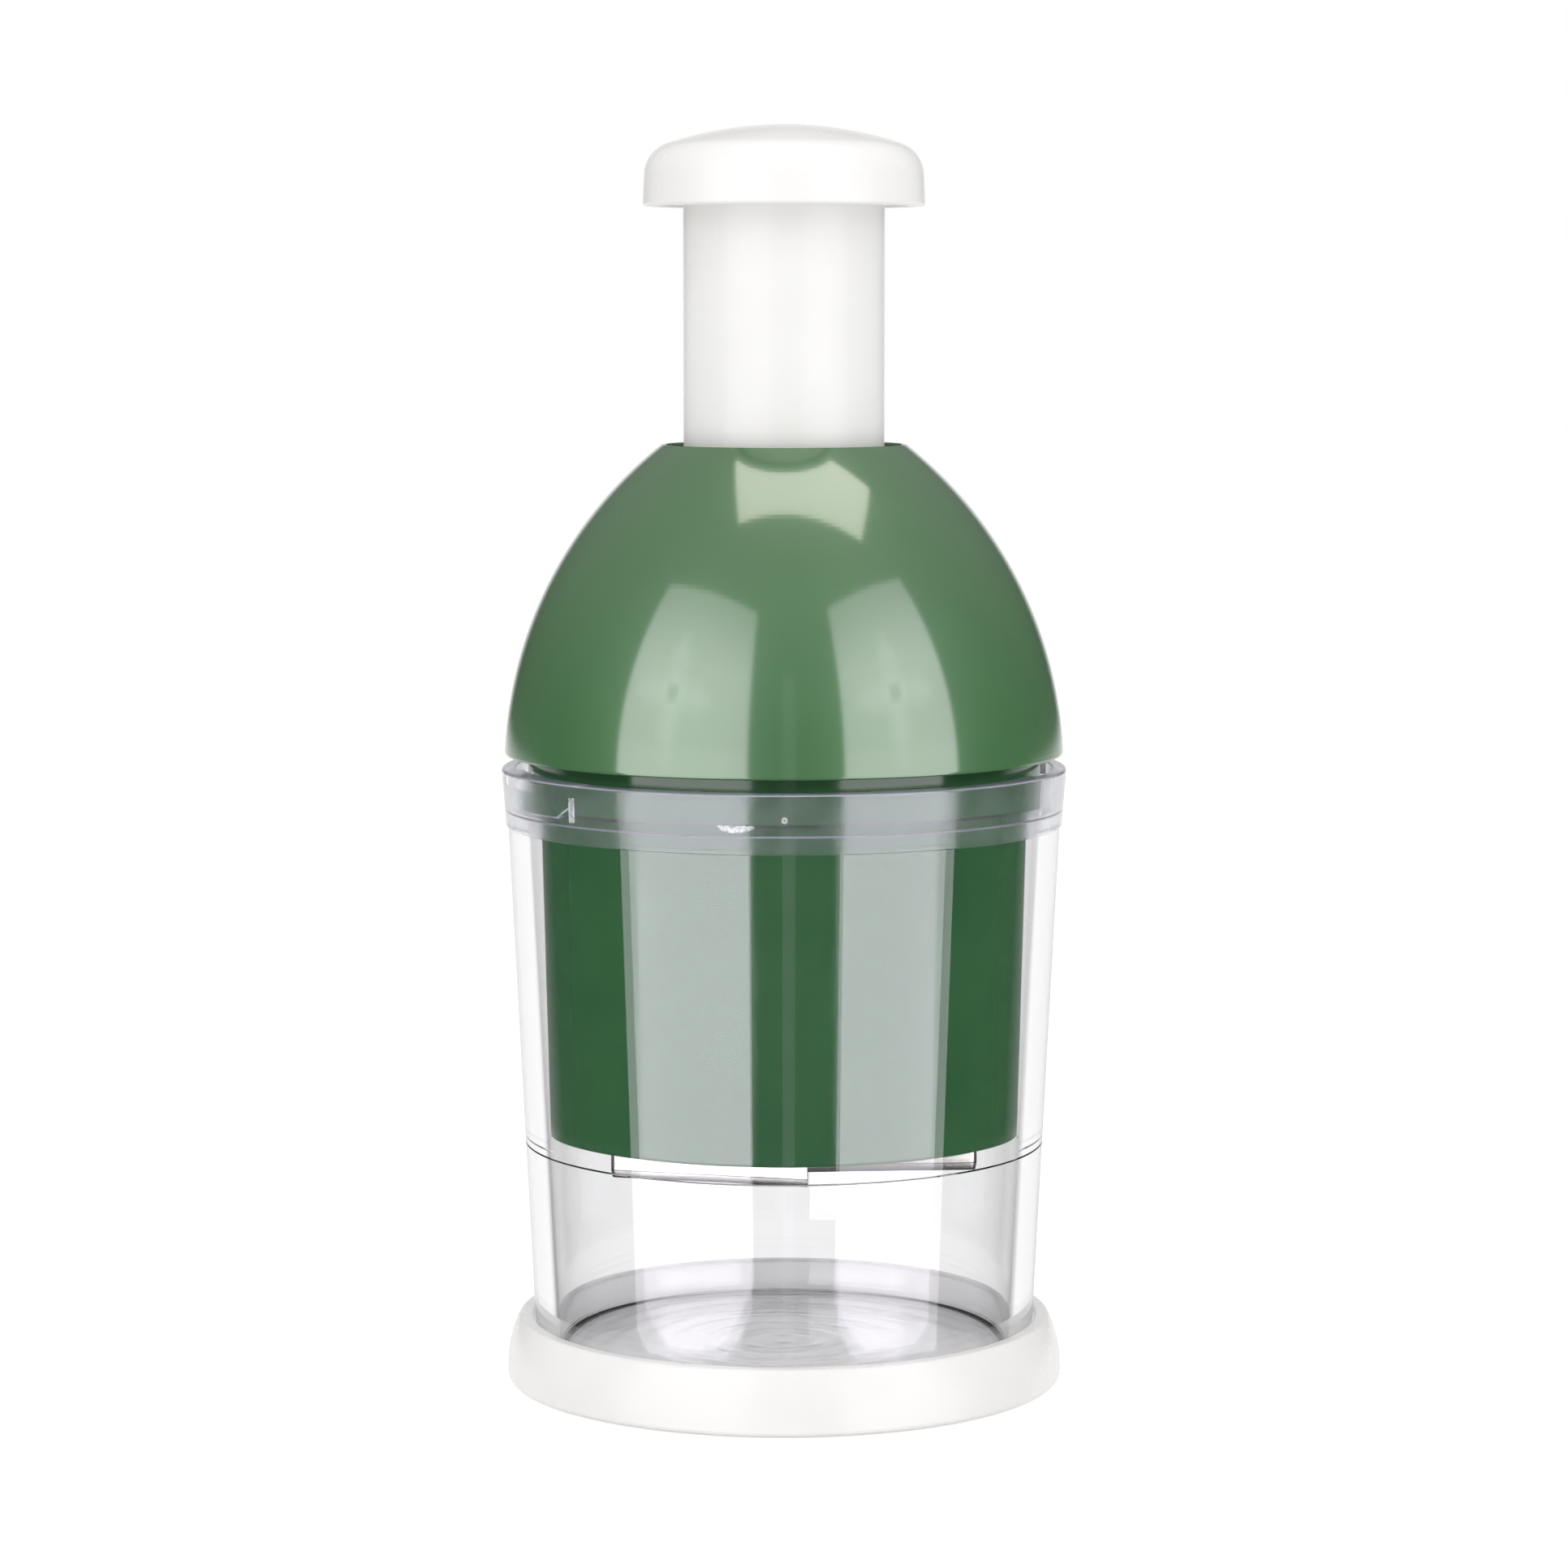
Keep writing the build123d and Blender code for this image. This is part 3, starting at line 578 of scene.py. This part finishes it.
def clearPlastic(name):
    recipe = newRecipe(name)
    x, y, z = recipe.axes()
    radius = distance(x, y)
    collar = z.band(collarLow, cupHigh, 0.15)
    floor = z.band(cupFloor - 3, cupFloor + 0.25, 0.2)
    frost = recipe.noise(260, 4).smooth(0.3, 0.75)
    haze = recipe.noise(30, 3).smooth(0.3, 0.8)
    wander = recipe.noise(30, 3) * cupMarks["ringWander"]
    rings = ((radius + wander) * 2 * math.pi / cupMarks["ringPitch"]).math("SINE")
    lathed = recipe.bump(rings * floor, 0.02, 0.5)
    body = recipe.shader(
        Base_Color=recipe.mixColour(collar, gloss["clear"], gloss["clearFrost"]),
        Roughness=collar * frost.between(0.09, 0.14) + floor * 0.02 + haze * 0.01 + 0.004,
        Normal=recipe.bump(recipe.noise(24, 2, (1, 1, 0.3)), 0.05, 0.25, lathed),
        IOR=1.5, Transmission_Weight=1.0,
        Specular_IOR_Level=0.8, Specular_Tint=(0.95, 0.94, 1, 1),
    )
    # The gate's broken scar, and the bubble beside it
    front = y.smooth(0.0, -10)
    level = (z - cupMarks["gateHigh"]) / cupMarks["gateDeep"]
    side = (x - cupMarks["gateX"]) / cupMarks["gateHalf"]
    ragged = recipe.noise(2200, 3).between(-0.35, 0.35)
    broken = recipe.noise(1500, 4).smooth(0.35, 0.6).between(0.1, 0.6)
    scarShape = (side * side + level * level + ragged).smooth(1.0, 0.7)
    scar = scarShape * level.smooth(0.06, -0.06) * front * broken
    bubbleOut = distance(x - cupMarks["bubbleX"], z - cupMarks["bubbleHigh"])
    bubble = bubbleOut.band(0.22, 0.46, 0.15) * front * 0.4
    # Painted highlight: the ends of the two grooves painted white, standing in for the light they
    # catch
    ends = 0.0
    for turn in (0, math.pi):
        stop = math.radians(cup["stop"]) + turn
        across = (y * math.cos(stop) - x * math.sin(stop)).math("ABSOLUTE").smooth(0.32, 0.22)
        ends = ends + across * (x * math.cos(stop) + y * math.sin(stop)).smooth(40, 44)
    inGroove = z.band(grooveLow, grooveHigh, 0.1)
    inGroove = inGroove * radius.smooth(cup["groove"] + 0.4, cup["groove"] + 0.2)
    ends = ends * inGroove * recipe.noise(1300, 3).smooth(0.3, 0.6).between(0.3, 0.75)
    # Painted highlight: the rim and the ledge in the mouth are painted a pale lavender along their
    # rounded edges, standing in for the light they catch
    rim = z.smooth(cupHigh - 0.34, cupHigh - 0.22) * 0.4
    ledge = z.band(mouthLedge - 0.3, mouthLedge + 0.05, 0.08)
    ledge = ledge * radius.smooth(cup["bore"] + 0.2, cup["bore"]) * 0.35
    milk = collar * frost.between(0.015, 0.035)
    rimLight = recipe.shader(Base_Color=gloss["edgeLight"], Roughness=0.3)
    white = recipe.shader(Base_Color=gloss["frostAndGlint"], Roughness=0.45)
    edged = recipe.mixShader(rim.larger(ledge), body, rimLight)
    # The frost, the gate's scar and the bubble are real marks; the groove ends are a painted
    # highlight
    marked = recipe.mixShader(scar.larger(ends).larger(bubble).larger(milk), edged, white)
    # Lamps shine straight through
    openWay = recipe.node("BsdfTransparent", None, {"Color": gloss["clearShadow"]})
    return recipe.finish(recipe.mixShader(recipe.rays("Is Shadow Ray")[0], marked, openWay))


def makeCup():
    collarOut = cup["neck"] + cup["collarStep"]
    innerFoot = cup["foot"] - cup["footWall"]
    innerNeck = cup["neck"] - cup["neckWall"]
    foot = cupLow + cup["footLift"]
    parting = cupLow + cup["parting"]
    taper = (cup["neck"] - cup["foot"]) * (parting - cupLow) / (collarLow - cupLow)
    partingRadius = cup["foot"] + taper
    deep = cup["partingDepth"]

    def outline(groove, mouth):
        corners = [
            (0, foot), (cup["foot"] - 3, foot), (cup["foot"], foot, cup["footRound"]),
            (partingRadius - 0.01, parting - deep), (partingRadius - deep, parting),
            (partingRadius + 0.01, parting + deep), (cup["neck"], collarLow, cup["softRound"]),
            (collarOut + 0.05, collarLow, cup["softRound"]),
            (collarOut + cup["collarFlare"], cupHigh, cup["rim"]), (mouth, cupHigh, cup["lip"]),
            (mouth, grooveHigh), (groove, grooveHigh), (groove, grooveLow),
            (cup["bore"], grooveLow), (cup["bore"], mouthLedge, cup["softRound"]),
            (innerNeck, mouthLedge, cup["lip"]), (innerFoot, cupFloor, cup["floorRound"]),
            (0, cupFloor),
        ]
        return trace(corners, 0.05, True)

    plain = outline(cup["bore"], cup["bore"])
    closed = outline(cup["groove"], cup["bore"])
    entry = outline(cup["groove"], cup["groove"] - 0.001)
    columns = []
    for turn in (0, 180):
        stop = cup["stop"] + turn
        start = stop - cup["run"]
        shut = start + cup["slot"]
        columns += spread(start, shut - start, 26, entry)
        columns += spread(shut + tiny, stop - shut - tiny, 28, closed)
        columns += spread(stop + tiny, 180 - cup["run"] - 2 * tiny, 95, plain)
    return spin("clearCup", columns, 30)


dress(makeCup(), "cup", clearPlastic("clearPlastic"), "cup")

print("base")
base = {
    "straight": 1.7, "curve": 20.0, "edge": 0.8, "socket": 44.11, "recess": 1.2, "well": 36.0,
    "wellRound": 0.3, "gripIn": 37.9, "gripOut": 43.1, "gripTop": 1.8, "gripRound": 0.15,
    "wallGlow": 0.2, "floorGlow": 0.04,
}


def socketPlastic(name):
    # White plastic with a painted glow: the socket under the cup gives off light of its own,
    # standing in for light reaching it through the cup
    recipe = newRecipe(name)
    x, y, z = recipe.axes()
    inside = distance(x, y).smooth(base["socket"] + 0.25, base["socket"] + 0.05)
    wall = z.band(cupLow + 0.3, baseHigh - 0.4, 0.4)
    floor = z.band(cupLow - 0.2, cupLow + 0.1, 0.05)
    # Painted light: the socket's wall and floor glow, though they are no lamp
    paintedGlow = (wall * base["wallGlow"] + floor * base["floorGlow"]) * inside
    return recipe.finish(recipe.shader(
        **mouldedSkin(recipe, "white", "whiteShade", 0.22, (1, 1, 1)), Specular_IOR_Level=0.15,
        Emission_Color=recipe.mixColour(paintedGlow, (0, 0, 0, 1), (1, 1, 1, 1)), Emission_Strength=1.0,
    ))


def makeBase():
    edge, socket, grip = base["edge"], base["socket"], base["gripRound"]
    flankLow = baseLow + base["straight"]
    centre = (baseRadius - base["curve"], flankLow)

    def flankRadius(z):
        return centre[0] + math.sqrt(base["curve"] ** 2 - (z - flankLow) ** 2)

    flankEnd = (flankRadius(baseHigh - edge), baseHigh - edge)
    flank = arcBetween((baseRadius, flankLow), flankEnd, centre, steps=26)
    rim = (flankRadius(baseHigh) - 0.05, baseHigh)
    turn = roundCorner(flankEnd, rim, (socket, baseHigh), edge * 0.8)
    well = baseLow + base["recess"]
    corners = [
        (0, well), (base["well"], well, base["wellRound"]),
        (base["well"], baseLow, base["wellRound"]), (base["gripIn"], baseLow, grip),
        (base["gripIn"], base["gripTop"]), (base["gripOut"], base["gripTop"]),
        (base["gripOut"], baseLow, grip), (baseRadius, baseLow, edge), *flank, *turn,
        (socket, baseHigh, edge * 0.7), (socket, cupLow), (0, cupLow),
    ]
    return lathe("baseCap", trace(corners), 288)


dress(makeBase(), "base", socketPlastic("basePlastic"), "base_cap")

print("blade")
blade = {
    "left": -26.3, "right": 33.5, "endX": 6.8, "angle": 10.0, "bend": 1.0, "bendSteps": 14,
    "thickness": 0.6, "set": -5.3, "bevelHigh": 1.2, "bevelDeep": 0.22,
}


def groundSteel(name):
    # Brushed steel, polished along the blade's ground edge, with painted dark lines there standing
    # in for the dark that the bevel reflects
    recipe = newRecipe(name)
    z = recipe.axes()[2]
    edgeHigh = bladeLow + blade["bevelHigh"]
    brush = recipe.noise(60, 5, (1, 1, 26), 0.65)
    grain = recipe.noise(2400, 2, (0.25, 0.25, 3))
    ground = z.smooth(edgeHigh, bladeLow)
    # Painted reflection: a dark line at the top of the bevel and along the bottom edge
    darkReflectionLines = z.band(edgeHigh, edgeHigh + 0.16, 0.05).larger(z.smooth(bladeLow + 0.2, bladeLow))
    brushed = recipe.mixColour(brush.smooth(0.3, 0.75), gloss["steel"], gloss["steelDark"])
    return recipe.finish(recipe.shader(
        Base_Color=recipe.mixColour(darkReflectionLines, brushed, gloss["reflectedDark"]), Metallic=1.0,
        Roughness=brush.between(0.16, 0.34) - ground * 0.1,
        Normal=recipe.bump(brush + grain * 0.4, 0.01, 0.35),
    ))


def bladePath():
    slant = math.radians(blade["angle"])
    over = blade["bend"] / math.sin(slant) - blade["bend"]
    left, right = blade["left"] - over, blade["right"] + over
    pitch = (right - left) * math.tan(slant)
    endY = 2 * pitch + (blade["endX"] - left) * math.tan(slant)
    corners = [(left, -2 * pitch), (right, -pitch), (left, 0), (right, pitch), (left, 2 * pitch)]
    ends = [(blade["endX"], -endY), (blade["endX"], endY)]
    path = [ends[0]]
    chain = [ends[0], *corners, ends[1]]
    for before, corner, after in zip(chain, corners, chain[2:]):
        path += roundCorner(before, corner, after, blade["bend"], blade["bendSteps"])
    path.append(ends[1])
    return path


def makeBlade():
    path = [Vector(p) for p in bladePath()]
    turn = math.radians(blade["set"])
    c, s = math.cos(turn), math.sin(turn)
    half = blade["thickness"] / 2
    bevelTop = bladeLow + blade["bevelHigh"]
    levels = [
        (bladeLow, half - blade["bevelDeep"]), (bevelTop, half), (bevelTop + 0.1, half),
        (bladeHigh, half),
    ]

    def build(work):
        sides = {1: [], -1: []}
        for i, point in enumerate(path):
            back = path[max(i - 1, 0)]
            ahead = path[min(i + 1, len(path) - 1)]
            before = (point - back).normalized() if i else (ahead - point).normalized()
            after = (ahead - point).normalized() if i < len(path) - 1 else before
            along = (before + after).normalized()
            across = Vector((-along.y, along.x)) / max(0.5, along.dot(after))
            for side in sides:
                column = []
                for z, offset in levels:
                    p = point + across * offset * side
                    place = ((p.x * c - p.y * s) * mm, (p.x * s + p.y * c) * mm, z * mm)
                    column.append(work.verts.new(place))
                sides[side].append(column)
        right, left = sides[1], sides[-1]
        for i in range(len(path) - 1):
            for a, b in ((right[i], right[i + 1]), (left[i], left[i + 1])):
                for k in range(len(levels) - 1):
                    work.faces.new((a[k], b[k], b[k + 1], a[k + 1]))
            for k in (0, -1):
                work.faces.new((right[i][k], right[i + 1][k], left[i + 1][k], left[i][k]))
        for a, b in ((right[0], left[0]), (right[-1], left[-1])):
            for k in range(len(levels) - 1):
                work.faces.new((a[k], b[k], b[k + 1], a[k + 1]))

    return meshObject("foldedBlade", build, 20)


steelMaterial = groundSteel("groundSteel")
dress(makeBlade(), "spindle", steelMaterial, "blade")

print("spring")
spring = {
    "radius": 11.6, "wire": 1.6, "turns": 9.0, "stepsPerTurn": 48, "sides": 14, "travel": 33.0,
}


def springTree(material):
    tree = bpy.data.node_groups.new("coilSpring", "GeometryNodeTree")

    def socket(name, way, kind):
        return tree.interface.new_socket(name=name, in_out=way, socket_type="NodeSocket" + kind)

    def add(kind, sockets):
        return addNode(tree, kind, None, sockets)

    sizes = {
        "Radius": spring["radius"] * mm, "Wire": spring["wire"] * mm / 2,
        "Turns": spring["turns"], "Height": (springHigh - springLow - spring["wire"]) * mm,
        "Low": (springLow + spring["wire"] / 2) * mm,
    }
    socket("Geometry", "INPUT", "Geometry")
    for name, value in sizes.items():
        socket(name, "INPUT", "Float").default_value = value
    socket("Geometry", "OUTPUT", "Geometry")
    given = tree.nodes.new("NodeGroupInput").outputs
    coil = add("GeometryNodeCurveSpiral", {
        "Resolution": spring["stepsPerTurn"], "Rotations": given["Turns"],
        "Start Radius": given["Radius"], "End Radius": given["Radius"], "Height": given["Height"],
    })
    wire = add("GeometryNodeCurvePrimitiveCircle", {
        "Resolution": spring["sides"], "Radius": given["Wire"],
    })
    skin = add("GeometryNodeCurveToMesh", {
        "Curve": coil.outputs[0], "Profile Curve": wire.outputs[0], "Fill Caps": True,
    })
    lift = add("ShaderNodeCombineXYZ", {"Z": given["Low"]})
    moved = add("GeometryNodeTransform", {
        "Geometry": skin.outputs[0], "Translation": lift.outputs[0],
    })
    smooth = add("GeometryNodeSetShadeSmooth", {"Geometry": moved.outputs[0]})
    real = add("GeometryNodeRealizeInstances", {"Geometry": smooth.outputs[0]})
    painted = add("GeometryNodeSetMaterial", {"Geometry": real.outputs[0], "Material": material})
    add("NodeGroupOutput", {0: painted.outputs[0]})
    return tree


def fromTree(name, tree):
    # Runs a Geometry Nodes tree and keeps its result as a plain mesh at the origin.
    holder = addObject(name + "Source", bpy.data.meshes.new(name + "Seed"))
    modifier = holder.modifiers.new("shape", "NODES")
    modifier.node_group = tree
    bpy.context.view_layer.update()
    ready = holder.evaluated_get(bpy.context.evaluated_depsgraph_get())
    made = bpy.data.meshes.new_from_object(ready)
    holder.modifiers.remove(modifier)
    bpy.data.objects.remove(holder)
    made.name = name
    return addObject(name, made)


returnSpring = fromTree("returnSpring", springTree(steelMaterial))
dress(returnSpring, "housing", steelMaterial, "return_spring")
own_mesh(returnSpring)

print("carried-over nodes")


def softRubber(name):
    recipe = newRecipe(name)
    dust = recipe.noise(140, 4).smooth(0.45, 0.8)
    return recipe.finish(recipe.shader(
        Base_Color=recipe.mixColour(dust, gloss["rubber"], gloss["rubberDust"]),
        Roughness=dust * 0.15 + 0.62, Normal=recipe.bump(recipe.noise(1500, 2), 0.03, 0.5),
    ))


finishes = {
    innerPlastic: (
        "guide_bush", "hub_plate", "index_nut", "spring_seat", "knob_core", "blade_holder",
        "wiper_plate", "wiper_retainer", "spindle",
    ),
    steelMaterial: ("hub_screws", "tip_washer", "tip_screw", "holder_screw"),
    softRubber("softRubber"): ("grip_ring",),
}
for material, names in finishes.items():
    for name in names:
        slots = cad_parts[name].data.materials
        slots.clear()
        slots.append(material)

print("studio")
studio = {
    "floorSize": 6.0, "paper": (0.9, 0.9, 0.9, 1), "paperLift": 0.45, "cameraBack": 0.7981,
    "cameraHigh": 0.1884, "cameraDip": 6.0, "framePixels": 1932, "focalPixels": 5666,
    "sensor": 36.0,
}
# The white room round the object. Each range is that of the ray's direction over which one
# part of the room comes up; y points away from the camera and z upwards.
room = {
    "plainLight": 0.75, "behind": 1.0, "sideDark": 0.05, "frontDim": 0.12, "above": 0.5,
    "behindFrom": (0.92, 0.99), "frontFrom": (-0.5, -0.95), "aboveFrom": (-0.2, 0.9),
    "tableFrom": (0.35, 0.6), "tableUnder": (-0.03, -0.09),
    "straightReach": (0.0, 0.35), "wallReach": (0.68, 0.78), "insideReach": (0.9, 0.99),
}


def softbox(name, place, aim, size, radiance, seenBy):
    # radiance is the panel's brightness, where 1 is white
    lamp = bpy.data.lights.new(name, "AREA")
    lamp.shape = "RECTANGLE"
    lamp.size, lamp.size_y = size
    lamp.energy = radiance * math.pi * size[0] * size[1]
    holder = addObject(name, lamp)
    holder.location = place
    holder.rotation_euler = (Vector(aim) - Vector(place)).to_track_quat("-Z", "Y").to_euler()
    holder.visible_camera = False
    holder.visible_diffuse = seenBy == "diffuse"
    holder.visible_glossy = seenBy == "gloss"
    holder.visible_transmission = seenBy == "gloss"
    return lamp


def standing(name, azimuth, away, height, size, radiance, seenBy="gloss"):
    # An upright panel that faces the axis; azimuth 0 is the front and 90 the right-hand side.
    a = math.radians(azimuth)
    place = (math.sin(a) * away, -math.cos(a) * away, height)
    return softbox(name, place, (0, 0, height), size, radiance, seenBy)


def makeWorld():
    world = bpy.data.worlds.new("studioWorld")
    bpy.context.scene.world = world
    recipe = Recipe(world)
    y, z = recipe.directions("Generated")[1:]
    camera, shine, through = recipe.rays("Is Camera Ray", "Is Glossy Ray", "Is Transmission Ray")
    dulled, mirrored, refracted = recipe.rays(
        "Diffuse Depth", "Glossy Depth", "Transmission Depth")

    def light(strength):
        return recipe.node("Background", None, {"Color": (1, 1, 1, 1), "Strength": strength})

    back = y.smooth(*room["behindFrom"]).between(room["sideDark"], room["behind"])
    front = y.smooth(*room["frontFrom"]) * room["frontDim"]
    above = z.smooth(*room["aboveFrom"]) * room["above"]
    table = y.smooth(*room["tableFrom"]) * z.smooth(*room["tableUnder"])
    walls = back.larger(front).larger(above)
    # Seen straight through the cup, the white reaches far round to the sides. By way of its
    # wall's inner face it reaches less far, and off a piece inside the cup it is only behind.
    straight, wall, inside = [
        y.smooth(*room[reach]) for reach in ("straightReach", "wallReach", "insideReach")
    ]
    turned = refracted.over(2.5).between(wall, inside)
    beyond = mirrored.over(0.5).between(straight, turned)
    soft = light(room["plainLight"])
    final = recipe.mixShader(shine, soft, light(walls.larger(table)))
    final = recipe.mixShader(through, final, light(walls.larger(beyond)))
    final = recipe.mixShader(camera, final, light(1.0))
    final = recipe.mixShader(dulled.over(0.5), final, soft)
    recipe.finish(final, "OutputWorld")


def makeFloor():
    half = studio["floorSize"] / 2
    corners = [(-half, -half, 0), (half, -half, 0), (half, half, 0), (-half, half, 0)]
    sheet = bpy.data.meshes.new("studioFloor")
    sheet.from_pydata(corners, [], [(0, 1, 2, 3)])
    recipe = newRecipe("studioFloor")
    seen, shade, shine, through = recipe.rays(
        "Is Camera Ray", "Is Shadow Ray", "Is Glossy Ray", "Is Transmission Ray")
    paper = recipe.node("BsdfDiffuse", None, {"Color": studio["paper"]})
    strength = seen * studio["paperLift"]
    lift = recipe.node("Emission", None, {"Color": (1, 1, 1, 1), "Strength": strength})
    both = recipe.node("AddShader", None, {0: paper, 1: lift})
    gone = recipe.node("BsdfTransparent", None, {"Color": (1, 1, 1, 1)})
    hidden = shade.larger(shine.larger(through))
    sheet.materials.append(recipe.finish(recipe.mixShader(hidden, both, gone)))
    addObject("studioFloor", sheet)


def makeCamera():
    data = bpy.data.cameras.new("studioCamera")
    data.sensor_width = studio["sensor"]
    data.lens = studio["focalPixels"] / studio["framePixels"] * studio["sensor"]
    camera = addObject("studioCamera", data)
    camera.location = (0, -studio["cameraBack"], studio["cameraHigh"])
    camera.rotation_euler = (math.radians(90 - studio["cameraDip"]), 0, 0)
    bpy.context.scene.camera = camera


# The lamps: how bright each is, how far away and how high its middle stands, and its width
# and height, in metres. Layers of one panel stand a little in front of each other.
lamps = {
    "bandAway": 0.45, "bandMiddle": 0.235, "bandHigh": 0.73, "band": 1.96, "bandTint": (1, 0.95, 1),
    "sides": (("left", -41, 0.46), ("right", 47.3, 0.4)),  # azimuth and width
    "lower": 0.3, "lowerAway": 0.449, "lowerLayer": 0.001, "lowerFoot": -0.13,
    "lowerTops": (0.16, 0.36, 0.4, 0.44, 0.48, 0.52),
    "fill": 0.97, "fillAway": 0.8, "fillMiddle": 0.45, "fillSize": (0.6, 0.9),
    "hotSides": (("left", -46.5), ("right", 46.5)),  # azimuth
    "hotAway": 0.43, "hotLayer": 0.004, "hotMiddle": 0.265,
    "hot": ((0.5, (0.26, 0.035)), (0.4, (0.2, 0.075)), (0.4, (0.035, 0.3)), (0.4, (0.07, 0.2))),
    "strip": 0.3, "stripTurn": 2, "stripAway": 0.75, "stripMiddle": 0.1, "stripSize": (0.07, 0.8),
    "top": 4.2, "topTint": (1, 0.96, 0.87), "topSize": (0.42, 0.22),
    "topPlace": (0.06, -0.03, 0.607), "topAim": (0.06, -0.03, 0),
    "over": 0.68, "overSize": (0.8, 0.6), "overPlace": (0, -0.3, 0.9), "overAim": (0, 0, 0.1),
}


def makeLamps():
    foot = lamps["lowerFoot"]
    for side, turn, wide in lamps["sides"]:
        size = (wide, lamps["bandHigh"])
        band = standing(
            side + "Gloss", turn, lamps["bandAway"], lamps["bandMiddle"], size, lamps["band"])
        band.color = lamps["bandTint"]
        # Shorter panels in front make the band brighter in steps towards its foot.
        for i, top in enumerate(lamps["lowerTops"]):
            away = lamps["lowerAway"] - i * lamps["lowerLayer"]
            size = (wide, top - foot)
            standing(f"{side}Lower{i}", turn, away, (top + foot) / 2, size, lamps["lower"])
        standing(
            side + "Fill", turn, lamps["fillAway"], lamps["fillMiddle"], lamps["fillSize"],
            lamps["fill"], "diffuse")
    for side, turn in lamps["hotSides"]:
        for i, (strength, size) in enumerate(lamps["hot"]):
            away = lamps["hotAway"] - i * lamps["hotLayer"]
            standing(f"{side}Hot{i}", turn, away, lamps["hotMiddle"], size, strength)
    standing(
        "frontStrip", lamps["stripTurn"], lamps["stripAway"], lamps["stripMiddle"],
        lamps["stripSize"], lamps["strip"])
    top = softbox(
        "topGloss", lamps["topPlace"], lamps["topAim"], lamps["topSize"], lamps["top"], "gloss")
    top.color = lamps["topTint"]
    softbox(
        "topFill", lamps["overPlace"], lamps["overAim"], lamps["overSize"], lamps["over"],
        "diffuse")


makeCamera()
makeWorld()
makeFloor()
makeLamps()
bpy.context.scene.view_settings.view_transform = "Standard"

print("done")
